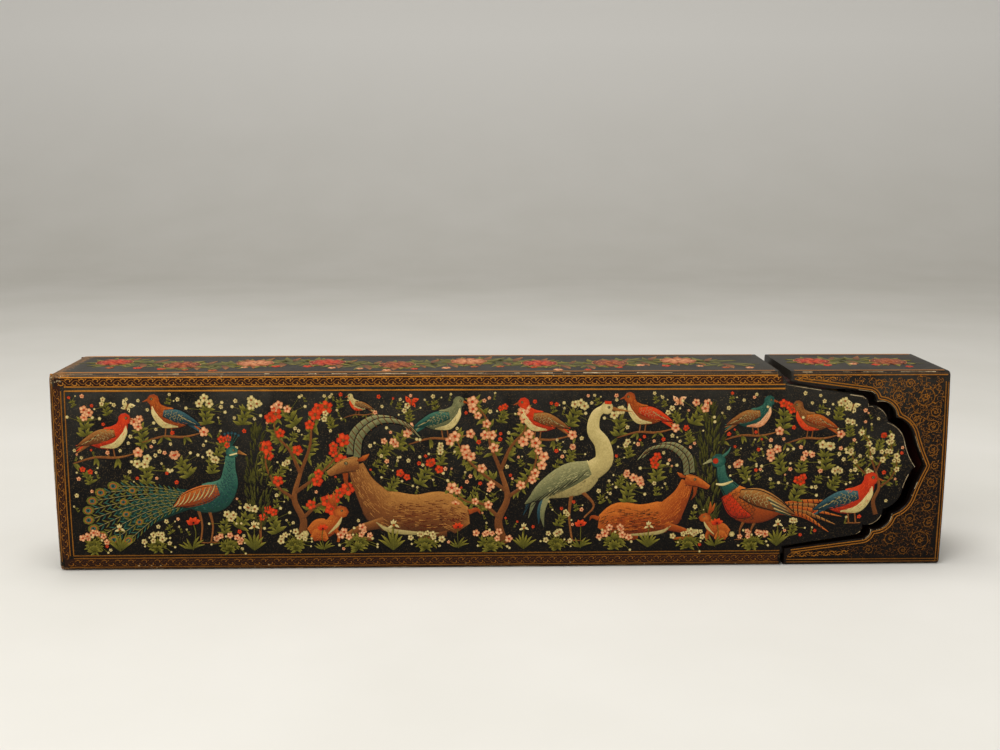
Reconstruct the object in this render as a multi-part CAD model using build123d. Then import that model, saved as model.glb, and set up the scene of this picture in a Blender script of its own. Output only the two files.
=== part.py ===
from build123d import *
import os

# A lacquered papier-mache pen box: a shell closed at one end, and a drawer that slides
# into it from the other. The drawer carries an inkwell. The box stands on one of its two
# narrow sides, with a broad painted face to the front, as it is set out for show.
# Millimetres. X runs along the box to the drawer's head, -Y out of the front broad face,
# +Z up, with the origin under the middle of the box. Places along the box are measured
# from its closed left end, and at() turns them into X.

LENGTH = 282.0
DEPTH = 37.6
HEIGHT = 63.4
CROWN = 0.9              # how far the middle of each broad face stands out past its edges
WALL = 2.6               # shell, at the middle of a broad face and on the narrow sides
LONG_EDGE_R = 1.5
CLOSED_END_R = 2.2
CLOSED_END_WALL = 4.0
HEAD_EDGE_R = 0.8
HEAD_END_WALL = 4.0

# The cut that parts the head from the shell: straight across both narrow sides, and a
# cusped tongue on both broad faces.
MOUTH = 230.0
SEAM = 1.3
WORN_MOUTH = 227.6       # the top side of the mouth is rubbed back to here
WORN_FROM = 60.0         # height where that wear starts
TONGUE_MIDDLE = 32.9     # height of the tongue's centre line
TONGUE_TIP = 272.0
SHOULDER_END = 254.0
FIRST_CUSP = 256.2
SECOND_CUSP = 262.5
OGEE_TURN = 268.3
SEAM_SPREAD = 1.7        # the gap is this much wider at the tip than at the mouth
SEAM_SIDE = 0.7          # gap beside the tongue at the mouth, and its growth to the tip
SEAM_SIDE_SPREAD = 0.8
EASED = 0.3              # chamfer that a scraper leaves on the cut's outer edges

# The drawer
SLIDE_GAP = 0.35
TRAY_START = 5.3
TRAY_WALL = 3.0
TRAY_END_WALL = 2.0
TRAY_FLOOR = 2.5
TRAY_CORNER_R = 1.0
BORE_CORNER_R = 1.2
COMPARTMENT_R = 3.0
BOARD = 1.5              # thickness of the two boards that keep the inkwell in its place
BOARD_BELOW_RIM = 1.0    # the deeper board stops this far under the tray's rim
INKWELL_GAP = 0.2        # between each board and the inkwell's plate

# The inkwell: a drop-in brass box, entered through a round mouth with a hinged lid
INKWELL_MIDDLE = 237.5
INKWELL_LENGTH = 32.0
INKWELL_WIDTH = 46.0
INKWELL_DEPTH = 13.5
INKWELL_R = 5.0
BRASS = 0.9
PLATE = 1.0
PLATE_LIP = 0.3
MOUTH_R = 4.0
SPIGOT_WALL = 0.5
COLLAR_R = 5.1
COLLAR_HEIGHT = 1.8
COLLAR_FOOT = 0.9        # how far the collar's foot spreads over the plate
COLLAR_FOOT_RIM = 0.4
LID_R = 5.6
LID_GAP = 0.2
HINGE_REACH = 7.3        # from the middle of the mouth to the hinge pin
HINGE_HEIGHT = 1.6
KNUCKLE_R = 1.1
STRAP_REACH = 3.2        # how far the hinge leaf's strap runs back over the plate
FOOT_UNDER_PIN = 0.2
PLUG_GAP = 0.3           # all round between the lid's plug and the mouth
PLUG_DEPTH = 0.8
TAB_THICK = 0.7          # tab that joins the lid to its knuckle
TAB_OVERLAP = 1.2
LID_DOME = 2.0           # height of the lid's crown over its underside
LID_PROFILE = [          # radius and height over the underside, from rim to crown
    (5.6, 0.8), (5.2, 0.9), (4.9, 1.3), (3.9, 1.65), (2.7, 1.9), (1.3, 2.0)]
KNOB_PROFILE = [         # radius and height over the lid's crown
    (1.2, 0), (1.1, 0.5), (0.6, 0.9), (1.1, 1.3), (1.3, 1.9), (1.0, 2.5), (0.4, 2.8), (0, 2.9)]
KNUCKLE_GAP = 0.3
PIN_R = 0.5
PIN_FIT = 0.05
PIN_HEAD_R = 0.75
PIN_HEAD = 0.4
LID_KNUCKLE = 2.8
LEAF_KNUCKLE = 2.4
WAD_LENGTH = 26.0
WAD_WIDTH = 38.0
WAD_DEPTH = 6.5
WAD_CORNER_R = 10.0

LEFT, RIGHT = 0, -1       # which end of a block is closed
BORE_DEPTH = DEPTH - 2 * WALL
BORE_HEIGHT = HEIGHT - 2 * WALL
TRAY_DEPTH = BORE_DEPTH - 2 * SLIDE_GAP
TRAY_HEIGHT = BORE_HEIGHT - 2 * SLIDE_GAP
HEAD_START = MOUTH + SEAM
HEAD_INSIDE = LENGTH - HEAD_END_WALL
FLOOR_Y = TRAY_DEPTH / 2 - TRAY_FLOOR
PLATE_Y = FLOOR_Y - INKWELL_DEPTH - PLATE
MIDDLE_Z = HEIGHT / 2

# From the outer face of the inkwell's plate: +Z here is out of the front of the box.
INKWELL_PLANE = Plane(
    origin=(INKWELL_MIDDLE - LENGTH / 2, PLATE_Y, MIDDLE_Z), x_dir=(1, 0, 0), z_dir=(0, -1, 0)
)


def at(place):
    """X of a place measured from the closed end."""
    return place - LENGTH / 2


def along_box(face, start, end):
    """A face drawn across the box, carried from one place to another along it."""
    return extrude(Plane.YZ.offset(at(start)) * face, amount=end - start)


def outer_section():
    """The box's outline across its length, with both broad faces gently crowned."""
    edge = DEPTH / 2 - CROWN
    outline = Curve() + [
        Line((-edge, 0), (edge, 0)),
        ThreePointArc((edge, 0), (DEPTH / 2, HEIGHT / 2), (edge, HEIGHT)),
        Line((edge, HEIGHT), (-edge, HEIGHT)),
        ThreePointArc((-edge, HEIGHT), (-DEPTH / 2, HEIGHT / 2), (-edge, 0)),
    ]
    return make_face(outline)


def outer_block(start, end, end_radius, closed):
    """A length of the box, solid, with its long edges and its closed end, LEFT or RIGHT,
    rounded. The larger of the two roundings is made first, so the smaller runs out on it."""
    block = along_box(outer_section(), start, end)

    def round_end(solid):
        return fillet(solid.edges().group_by(Axis.X)[closed], end_radius)

    def round_long(solid):
        return fillet(solid.edges().filter_by(Axis.X), LONG_EDGE_R)

    if end_radius > LONG_EDGE_R:
        return round_long(round_end(block))
    return round_end(round_long(block))


def box_section(depth, height, radius):
    """A rounded rectangle across the box, centred in it."""
    return Pos(0, MIDDLE_Z) * RectangleRounded(depth, height, radius)


def cusped_outline(root, points):
    """A tongue that runs from a root line to its tip. points holds its upper half as pairs
    of a place and a height over its centre line: the shoulder, then arcs by their middle
    and end."""
    upper = [Vector(at(x), TONGUE_MIDDLE + rise) for x, rise in points]
    lower = [Vector(at(x), TONGUE_MIDDLE - rise) for x, rise in points]
    edges = []
    for side in (upper, lower):
        for first in range(0, len(side) - 2, 2):
            edges.append(ThreePointArc(side[first], side[first + 1], side[first + 2]))
    back = at(root)
    edges.append(Polyline(upper[0], (back, upper[0].Y), (back, lower[0].Y), lower[0]))
    return make_face(Curve() + edges)


def tongue_points():
    """Upper half of the tongue: a long shoulder, its rounded end, two lobes between cusps,
    and an ogee that turns out into the point."""
    return [
        (MOUTH, 26.6),
        (243.0, 24.5),
        (SHOULDER_END, 22.8),
        (255.8, 21.5),
        (FIRST_CUSP, 19.5),
        (261.0, 18.0),
        (SECOND_CUSP, 14.3),
        (266.5, 11.8),
        (OGEE_TURN, 8.1),
        (269.8, 3.7),
        (TONGUE_TIP, 0.0),
    ]


def window_points():
    """The window in the head: the tongue's outline again, standing off it by the seam, which
    widens toward the point."""
    points = []
    for x, rise in tongue_points():
        share = (x - MOUTH) / (TONGUE_TIP - MOUTH)
        side_gap = SEAM_SIDE + SEAM_SIDE_SPREAD * share
        wider = rise + side_gap if rise else 0.0
        points.append((x + SEAM + SEAM_SPREAD * share, wider))
    return points


def through_box(face):
    """A face drawn on the front of the box, cut right through to the back."""
    return extrude(Plane.XZ * face, amount=DEPTH, both=True)


def worn_mouth():
    """The wedge that handling has rubbed off the top side of the mouth."""
    slope = [(MOUTH + SEAM, WORN_FROM), (MOUTH + SEAM, HEIGHT + 1), (WORN_MOUTH, HEIGHT + 1),
             (WORN_MOUTH, HEIGHT), (MOUTH, WORN_FROM)]
    outline = Polyline(*[(at(x), z) for x, z in slope], close=True)
    return through_box(make_face(outline))


def eased(solid):
    """Takes the sharpness off the cut where it meets the two broad faces."""
    def on_cut(edge):
        reach = edge.bounding_box()
        return (abs(edge.center().Y) > DEPTH / 2 - CROWN - EASED
                and reach.min.X > at(MOUTH) - EASED
                and reach.max.X < at(HEAD_INSIDE)
                and reach.min.Z > LONG_EDGE_R
                and reach.max.Z < HEIGHT - LONG_EDGE_R)

    return chamfer(solid.edges().filter_by(on_cut), EASED)


def case_shell():
    """The shell: closed at the left end, and cut at its mouth to leave a tongue on each
    broad face."""
    block = outer_block(0, TONGUE_TIP + 1, CLOSED_END_R, LEFT)
    bore = along_box(box_section(BORE_DEPTH, BORE_HEIGHT, BORE_CORNER_R),
                     CLOSED_END_WALL, TONGUE_TIP + 2)
    body_plan = Pos(at(MOUTH / 2), HEIGHT / 2) * Rectangle(MOUTH, HEIGHT)
    tongue_plan = cusped_outline(MOUTH - 5, tongue_points())
    kept = through_box(body_plan) + through_box(tongue_plan)
    return eased((block - bore) & kept) - worn_mouth()


def drawer_tray():
    """The long open tray that holds the pens, glued into the head at its right end."""
    outer = box_section(TRAY_DEPTH, TRAY_HEIGHT, TRAY_CORNER_R)
    tray = along_box(outer, TRAY_START, HEAD_INSIDE)
    inside_start = TRAY_START + TRAY_END_WALL
    inside_length = HEAD_INSIDE - TRAY_WALL - inside_start
    plan = Pos(at(inside_start + inside_length / 2), MIDDLE_Z) * RectangleRounded(
        inside_length, TRAY_HEIGHT - 2 * TRAY_WALL, COMPARTMENT_R)
    hollow = extrude(Plane.XZ.offset(-FLOOR_Y) * plan, amount=TRAY_DEPTH)
    hollow = fillet(hollow.edges().group_by(Axis.Y)[-1], COMPARTMENT_R / 2)
    return tray - hollow


def drawer_head():
    """The head: the cut-off end of the shell. Its two broad walls are cut away where the
    tongues come in."""
    block = outer_block(HEAD_START, LENGTH, HEAD_EDGE_R, RIGHT)
    seat = along_box(box_section(TRAY_DEPTH, TRAY_HEIGHT, TRAY_CORNER_R),
                     HEAD_START - 1, HEAD_INSIDE)
    window = cusped_outline(HEAD_START - 1, window_points())
    return eased(block - seat - through_box(window))


def ink_partitions():
    """Two pasteboard boards glued across the tray, one to each side of the inkwell. The
    left one is nearly as deep as the tray and closes off the pens."""
    width = TRAY_HEIGHT - 2 * TRAY_WALL
    clear = INKWELL_LENGTH / 2 + PLATE_LIP + INKWELL_GAP
    deep = TRAY_DEPTH - TRAY_FLOOR - BOARD_BELOW_RIM
    boards = []
    for side, depth in ((-1, deep), (1, INKWELL_DEPTH)):
        x = at(INKWELL_MIDDLE + side * (clear + BOARD / 2))
        board = Pos(x, FLOOR_Y - depth / 2, MIDDLE_Z) * Box(BOARD, depth, width)
        foot = board.edges().filter_by(Axis.X).group_by(Axis.Y)[-1]
        boards.append(chamfer(foot, COMPARTMENT_R / 2))
    return boards


def inkwell_pot():
    """The inkwell's box, folded and soldered from sheet brass, open under its plate."""
    footprint = RectangleRounded(INKWELL_LENGTH, INKWELL_WIDTH, INKWELL_R)
    pot = Pos(0, 0, -PLATE - INKWELL_DEPTH) * extrude(footprint, amount=INKWELL_DEPTH)
    pot = chamfer(pot.edges().group_by(Axis.Z)[0], BRASS)
    inner = RectangleRounded(INKWELL_LENGTH - 2 * BRASS, INKWELL_WIDTH - 2 * BRASS,
                             INKWELL_R - BRASS)
    hollow = Pos(0, 0, BRASS - PLATE - INKWELL_DEPTH) * extrude(inner, amount=INKWELL_DEPTH)
    return INKWELL_PLANE * (pot - hollow)


def inkwell_plate():
    """The plate soldered over the box, with a hole for the mouth's collar."""
    outline = RectangleRounded(INKWELL_LENGTH + 2 * PLATE_LIP, INKWELL_WIDTH + 2 * PLATE_LIP,
                               INKWELL_R + PLATE_LIP)
    plate = extrude(outline - Circle(MOUTH_R + SPIGOT_WALL), amount=-PLATE)
    return INKWELL_PLANE * plate


def turned(points):
    """A turned piece: half of its profile, as radius and height, spun round the mouth."""
    profile = make_face(Polyline(*[(r, 0, h) for r, h in points], close=True))
    return revolve(profile, Axis.Z)


def inkwell_collar():
    """The turned ring of the mouth, its spigot soldered into the plate."""
    ring = turned([
        (MOUTH_R, -PLATE),
        (MOUTH_R + SPIGOT_WALL, -PLATE),
        (MOUTH_R + SPIGOT_WALL, 0),
        (COLLAR_R + COLLAR_FOOT, 0),
        (COLLAR_R + COLLAR_FOOT, COLLAR_FOOT_RIM),
        (COLLAR_R, 2 * COLLAR_FOOT_RIM),
        (COLLAR_R, COLLAR_HEIGHT),
        (MOUTH_R, COLLAR_HEIGHT),
    ])
    return INKWELL_PLANE * ring


def knuckle(length, middle, bore):
    """One knuckle of the hinge, round the pin."""
    barrel = Cylinder(KNUCKLE_R, length, rotation=(0, 90, 0))
    hole = Cylinder(bore, length + 1, rotation=(0, 90, 0))
    return Pos(middle, HINGE_REACH, HINGE_HEIGHT) * (barrel - hole)


def hinge_leaf():
    """The hinge's fixed leaf: a strap soldered to the plate with a knuckle at each end."""
    offset = LID_KNUCKLE / 2 + KNUCKLE_GAP + LEAF_KNUCKLE / 2
    strap_width = 2 * offset + LEAF_KNUCKLE
    strap_thick = HINGE_HEIGHT - KNUCKLE_R
    foot_height = HINGE_HEIGHT - PIN_R - FOOT_UNDER_PIN
    foot_depth = 2 * (KNUCKLE_R - FOOT_UNDER_PIN)
    leaf = Pos(0, HINGE_REACH + STRAP_REACH / 2, strap_thick / 2) * Box(
        strap_width, STRAP_REACH, strap_thick)
    for side in (-1, 1):
        foot = Pos(side * offset, HINGE_REACH + FOOT_UNDER_PIN, foot_height / 2) * Box(
            LEAF_KNUCKLE, foot_depth, foot_height)
        leaf = leaf + foot + knuckle(LEAF_KNUCKLE, side * offset, PIN_R)
    notch = Pos(0, HINGE_REACH, 0) * Box(
        LID_KNUCKLE + 2 * KNUCKLE_GAP, 2 * KNUCKLE_R + 2 * KNUCKLE_GAP, 2 * HINGE_HEIGHT)
    return INKWELL_PLANE * (leaf - notch)


def hinge_pin():
    """The hinge's wire pin, headed over at both ends."""
    half = LID_KNUCKLE / 2 + KNUCKLE_GAP + LEAF_KNUCKLE
    pin = Cylinder(PIN_R, 2 * half, rotation=(0, 90, 0))
    for side in (-1, 1):
        pin = pin + Pos(side * (half + PIN_HEAD / 2), 0, 0) * Cylinder(
            PIN_HEAD_R, PIN_HEAD, rotation=(0, 90, 0))
    return INKWELL_PLANE * Pos(0, HINGE_REACH, HINGE_HEIGHT) * pin


def inkwell_lid():
    """The turned lid: a low stepped dome with a plug that sits in the mouth, and a knuckle."""
    under = COLLAR_HEIGHT + LID_GAP
    plug_r = MOUTH_R - PLUG_GAP
    dome = [(r, under + rise) for r, rise in LID_PROFILE]
    lid = turned([(PIN_R, under - PLUG_DEPTH), (plug_r, under - PLUG_DEPTH), (plug_r, under),
                  (LID_R, under), *dome, (PIN_R, under + LID_DOME)])
    tab_length = HINGE_REACH - LID_R + TAB_OVERLAP
    tab = Pos(0, HINGE_REACH - tab_length / 2, under + TAB_THICK / 2) * Box(
        LID_KNUCKLE, tab_length, TAB_THICK)
    clear_pin = Pos(0, HINGE_REACH, HINGE_HEIGHT) * Cylinder(
        PIN_R + PIN_FIT, LID_KNUCKLE + 1, rotation=(0, 90, 0))
    lid = lid + tab + knuckle(LID_KNUCKLE, 0, PIN_R + PIN_FIT) - clear_pin
    return INKWELL_PLANE * lid


def lid_knob():
    """The lid's turned finial, its stem riveted through the lid's crown."""
    crown = COLLAR_HEIGHT + LID_GAP + LID_DOME
    stem_end = crown - LID_DOME - PLUG_DEPTH
    finial = [(r, crown + rise) for r, rise in KNOB_PROFILE]
    knob = turned([(0, stem_end), (PIN_R, stem_end), (PIN_R, crown), *finial])
    return INKWELL_PLANE * knob


def silk_wad():
    """The pad of raw silk in the inkwell, which holds the ink so that it can't spill."""
    pad = extrude(RectangleRounded(WAD_LENGTH, WAD_WIDTH, WAD_CORNER_R), amount=WAD_DEPTH)
    pad = chamfer(pad.edges().group_by(Axis.Z)[-1], WAD_DEPTH / 3)
    return INKWELL_PLANE * Pos(0, 0, BRASS - PLATE - INKWELL_DEPTH) * pad


NODES = {
    "case_shell": case_shell,
    "drawer_tray": drawer_tray,
    "drawer_head": drawer_head,
    "ink_partitions": ink_partitions,
    "inkwell_pot": inkwell_pot,
    "inkwell_plate": inkwell_plate,
    "inkwell_collar": inkwell_collar,
    "inkwell_hinge_leaf": hinge_leaf,
    "inkwell_hinge_pin": hinge_pin,
    "inkwell_lid": inkwell_lid,
    "inkwell_lid_knob": lid_knob,
    "silk_wad": silk_wad,
}

os.makedirs("parts", exist_ok=True)
for name, make in NODES.items():
    solids = make()
    if isinstance(solids, list):
        solids = Compound(children=solids)
    export_step(solids, f"parts/{name}.step")
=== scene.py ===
import math
import random

import bmesh
import bpy
import numpy as np
from mathutils import Matrix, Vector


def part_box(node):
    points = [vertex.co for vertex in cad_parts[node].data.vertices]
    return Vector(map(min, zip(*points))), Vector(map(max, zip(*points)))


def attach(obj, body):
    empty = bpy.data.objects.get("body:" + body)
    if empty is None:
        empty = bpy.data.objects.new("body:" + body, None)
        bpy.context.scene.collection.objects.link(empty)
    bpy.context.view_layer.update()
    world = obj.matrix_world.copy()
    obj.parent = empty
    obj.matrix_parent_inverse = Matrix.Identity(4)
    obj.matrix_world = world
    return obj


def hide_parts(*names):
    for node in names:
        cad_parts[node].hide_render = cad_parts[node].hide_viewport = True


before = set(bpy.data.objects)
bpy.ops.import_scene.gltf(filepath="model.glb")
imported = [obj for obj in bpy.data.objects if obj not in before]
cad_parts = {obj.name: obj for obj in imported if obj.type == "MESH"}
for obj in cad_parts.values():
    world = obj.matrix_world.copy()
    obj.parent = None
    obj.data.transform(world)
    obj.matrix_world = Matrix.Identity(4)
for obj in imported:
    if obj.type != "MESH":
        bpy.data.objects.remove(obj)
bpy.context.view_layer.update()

# The shell. Sheets of paper were pasted over a wooden former, dried, drawn off and cut open
# at one end, then rubbed smooth with gesso and painted black. No face of it is quite flat.
# Sizes are in millimetres, and places along the box count from its closed left end.
MM = 0.001
LENGTH, DEPTH, HEIGHT = 282.0, 37.6, 63.4
CROWN = 0.9
LONG_EDGE_R, CLOSED_END_R, HEAD_END_R = 1.5, 2.2, 0.8
MOUTH, SEAM = 230.0, 1.3
EDGE_Y = DEPTH / 2 - CROWN
UNEVEN = 0.07
EDGE_WEAR, END_WEAR, CORNER_WEAR_AND_GLINT = 2.6, 5.0, 9.0
MESH_STEP = 3 * MM
TONGUE_MIDDLE = 32.9
TONGUE = [(230.0, 26.6), (243.0, 24.5), (254.0, 22.8), (255.8, 21.5), (256.2, 19.5),
          (261.0, 18.0), (262.5, 14.3), (266.5, 11.8), (268.3, 8.1), (269.8, 3.7), (272.0, 0.0)]


def drop(inwards, radius):
    """How far a rounded edge has fallen away, this far in from the edge."""
    short = np.clip(radius - inwards, 0, radius)
    return radius - np.sqrt(np.maximum(radius ** 2 - short ** 2, 0))


def uneven(a, b, seed):
    """The slight rise and fall of pasted paper over a broad side."""
    waves = (np.sin(a / 17.0 + seed) * np.cos(b / 11.0 + 2 * seed)
             + 0.6 * np.sin(a / 7.3 + b / 9.1 + 3 * seed)
             + 0.35 * np.sin(a / 3.9 - b / 4.7 + seed))
    return UNEVEN * waves / 1.95


def crowned(z):
    """How far a broad face would stand from the middle of the box if it were even."""
    return EDGE_Y + CROWN * (1 - (2 * z / HEIGHT - 1) ** 2)


def broad_height(x, z, side):
    """How far a broad face stands from the middle of the box."""
    inwards = np.minimum(np.minimum(z, HEIGHT - z), np.minimum(x, LENGTH - x))
    fade = np.clip((inwards - 2.0) / 6.0, 0, 1)
    return crowned(z) + fade * uneven(x, z, side)


def broad_face(side):
    """The surface of a broad face: -1 is the front. Points on it are (along, up)."""
    def skin(places, lift):
        x, z = places[:, 0], places[:, 1]
        fall = (drop(np.minimum(z, HEIGHT - z), LONG_EDGE_R) + drop(x, CLOSED_END_R)
                + drop(LENGTH - x, HEAD_END_R))
        y = side * (broad_height(x, z, side) - fall + lift)
        return np.stack([x - LENGTH / 2, y, z], 1) * MM
    return skin


def narrow_face(side):
    """The surface of a narrow side: 1 is the top. Points on it are (along, across)."""
    def skin(places, lift):
        x, y = places[:, 0], places[:, 1]
        fall = (drop(EDGE_Y - np.abs(y), LONG_EDGE_R) + drop(x, CLOSED_END_R)
                + drop(LENGTH - x, HEAD_END_R))
        z = HEIGHT / 2 + side * (HEIGHT / 2 - fall + lift)
        return np.stack([x - LENGTH / 2, y, z], 1) * MM
    return skin


def end_face(side):
    """The surface of an end: -1 is the closed one. Points on it are (across, up)."""
    radius = CLOSED_END_R if side < 0 else HEAD_END_R

    def skin(places, lift):
        y, z = places[:, 0], places[:, 1]
        fall = drop(crowned(z) - np.abs(y), radius) + drop(np.minimum(z, HEIGHT - z), radius)
        x = side * (LENGTH / 2 - fall + lift)
        return np.stack([x, y, z], 1) * MM
    return skin


FRONT, BACK = broad_face(-1), broad_face(1)
TOP, UNDER = narrow_face(1), narrow_face(-1)
CLOSED_END, HEAD_END = end_face(-1), end_face(1)


def linear(code):
    """An sRGB hex value as the linear colour that shaders take."""
    parts = [int(code[i:i + 2], 16) / 255 for i in (1, 3, 5)]
    return (*[p / 12.92 if p <= 0.04045 else ((p + 0.055) / 1.055) ** 2.4 for p in parts], 1.0)


def feed(tree, node, inputs):
    """Fills a node's inputs, each with a value, an output, or another node's first output."""
    for name, value in inputs.items():
        if isinstance(value, bpy.types.Node):
            value = next(out for out in value.outputs if out.enabled)
        if isinstance(value, bpy.types.NodeSocket):
            tree.links.new(value, node.inputs[name])
        else:
            node.inputs[name].default_value = value


def add(tree, kind, inputs=None, **settings):
    """Adds a shader node."""
    made = tree.nodes.new("ShaderNode" + kind)
    for name, value in settings.items():
        setattr(made, name, value)
    feed(tree, made, inputs or {})
    return made


def ramp(tree, fac, *stops):
    """A colour ramp: each stop is a position and an sRGB hex value, or a grey level."""
    made = add(tree, "ValToRGB", {"Fac": fac})
    made.color_ramp.elements.remove(made.color_ramp.elements[1])
    for n, (place, colour) in enumerate(stops):
        point = made.color_ramp.elements[0] if n == 0 else made.color_ramp.elements.new(place)
        point.position = place
        point.color = linear(colour) if isinstance(colour, str) else (colour,) * 3 + (1,)
    return made


def surface(name):
    """A new material: its tree, its Principled shader and a place on the object in mm."""
    material = bpy.data.materials.new(name)
    material.use_nodes = True
    tree = material.node_tree
    shader = tree.nodes["Principled BSDF"]
    metres = add(tree, "TexCoord").outputs["Object"]
    mm = add(tree, "VectorMath", {0: metres, "Scale": 1 / MM}, operation="SCALE")
    return material, tree, shader, mm


def varnish(rough=0.14, weight=0.12):
    """Sandarac and linseed oil varnish over paint: a gloss gone amber and dimmed with age."""
    return {"Coat Weight": weight, "Coat Roughness": rough, "Coat IOR": 1.4,
            "Coat Tint": linear("#fff0d2")}


def black_lacquer(name, tones, dust_share):
    """Bone black in oil, strewn with gold dust while wet, which gives a sparkling night
    ground; the flecks are drawn denser toward the upper edge. A grey painted sheen, a painted
    reflection of the lamps, lies over the upper part and grows toward the closed end. Brown
    shows where the long edges are rubbed, and pale at the top of the closed end, where the
    wear is partly a painted glint. The flecks are drawn at 0.36 mm, about twice the real
    dust, so that they show from a step away."""
    material, tree, shader, mm = surface(name)
    cloud = add(tree, "TexNoise", {"Vector": mm, "Scale": 0.035, "Detail": 3.0})
    ground = ramp(tree, cloud, *zip((0.3, 0.6, 0.8), tones))
    height = add(tree, "SeparateXYZ", {"Vector": mm})
    upper = add(tree, "MapRange", {"Value": height.outputs["Z"], 1: 24.0, 2: 60.0, 3: 0.0, 4: 1.0})
    dust = add(tree, "TexVoronoi", {"Vector": mm, "Scale": 1 / 0.36, "Randomness": 1.0})
    near = add(tree, "MapRange", {"Value": dust, 1: 0.2, 2: 0.45, 3: 1.0, 4: 0.0})
    pick = add(tree, "SeparateColor", {"Color": dust.outputs["Color"]})
    strewn = add(tree, "MapRange", {"Value": upper, 3: 0.45 * dust_share, 4: dust_share})
    some = add(tree, "MapRange", {"Value": pick.outputs["Red"], 1: 0.25, 2: 1.0, 3: 0.0,
                                  4: strewn})
    fleck = add(tree, "Math", {0: near, 1: some},
                operation="MULTIPLY")
    gilt = ramp(tree, pick.outputs["Green"], (0.0, "#3c2f1c"), (0.7, "#6e5734"), (1.0, "#9a8256"))
    speckled = add(tree, "Mix", {"Factor": fleck, "A": ground, "B": gilt},
                   data_type="RGBA")
    # Painted sheen: a grey painted reflection of the lamps, mixed into the ground over the upper part of
    # the face and strongest toward the closed end.
    drift = add(tree, "TexNoise", {"Vector": mm, "Scale": 0.055, "Detail": 6.0, "Roughness": 0.7})
    painted_sheen_at_closed_end = add(tree, "MapRange", {"Value": height.outputs["X"], 1: -LENGTH / 2, 2: -60.0,
                                        3: 0.95, 4: 0.6})
    painted_sheen_patches = add(tree, "MapRange", {"Value": drift, 1: 0.38, 2: 0.68, 3: 0.05,
                                    4: painted_sheen_at_closed_end})
    bloom = add(tree, "Math", {0: upper, 1: painted_sheen_patches},
                operation="MULTIPLY")
    lacquer_with_painted_sheen = add(tree, "Mix", {"Factor": bloom, "A": speckled,
                              "B": linear("#3a3832")}, data_type="RGBA")
    rub = add(tree, "TexNoise", {"Vector": mm, "Scale": 0.9, "Detail": 5.0, "Roughness": 0.7})
    wear_and_glint = add(tree, "Attribute", attribute_name="wear_and_glint")
    both = add(tree, "Math", {0: wear_and_glint.outputs["Fac"], 1: rub}, operation="MULTIPLY")
    worn_and_highlit = add(tree, "MapRange", {"Value": both, 1: 0.38, 2: 0.5, 3: 0.0, 4: 1.0})
    brown = ramp(tree, rub, (0.35, "#3d2412"), (0.6, "#7d5a36"), (0.75, "#b89a70"))
    colour = add(tree, "Mix", {"Factor": worn_and_highlit,
                               "A": lacquer_with_painted_sheen, "B": brown}, data_type="RGBA")
    peel = add(tree, "TexNoise", {"Vector": mm, "Scale": 0.8, "Detail": 3.0})
    bump = add(tree, "Bump", {"Height": peel, "Strength": 0.12, "Distance": 0.12 * MM})
    feed(tree, shader, {"Base Color": colour, "Normal": bump, "Coat Normal": bump, "Roughness": 0.5,
                        "Specular IOR Level": 0.06, **varnish()})
    return material


def new_piece(name, mesh, material):
    """A mesh of one material, as an object in the scene."""
    mesh.materials.append(material)
    made = bpy.data.objects.new(name, mesh)
    bpy.context.collection.objects.link(made)
    return made


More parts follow.
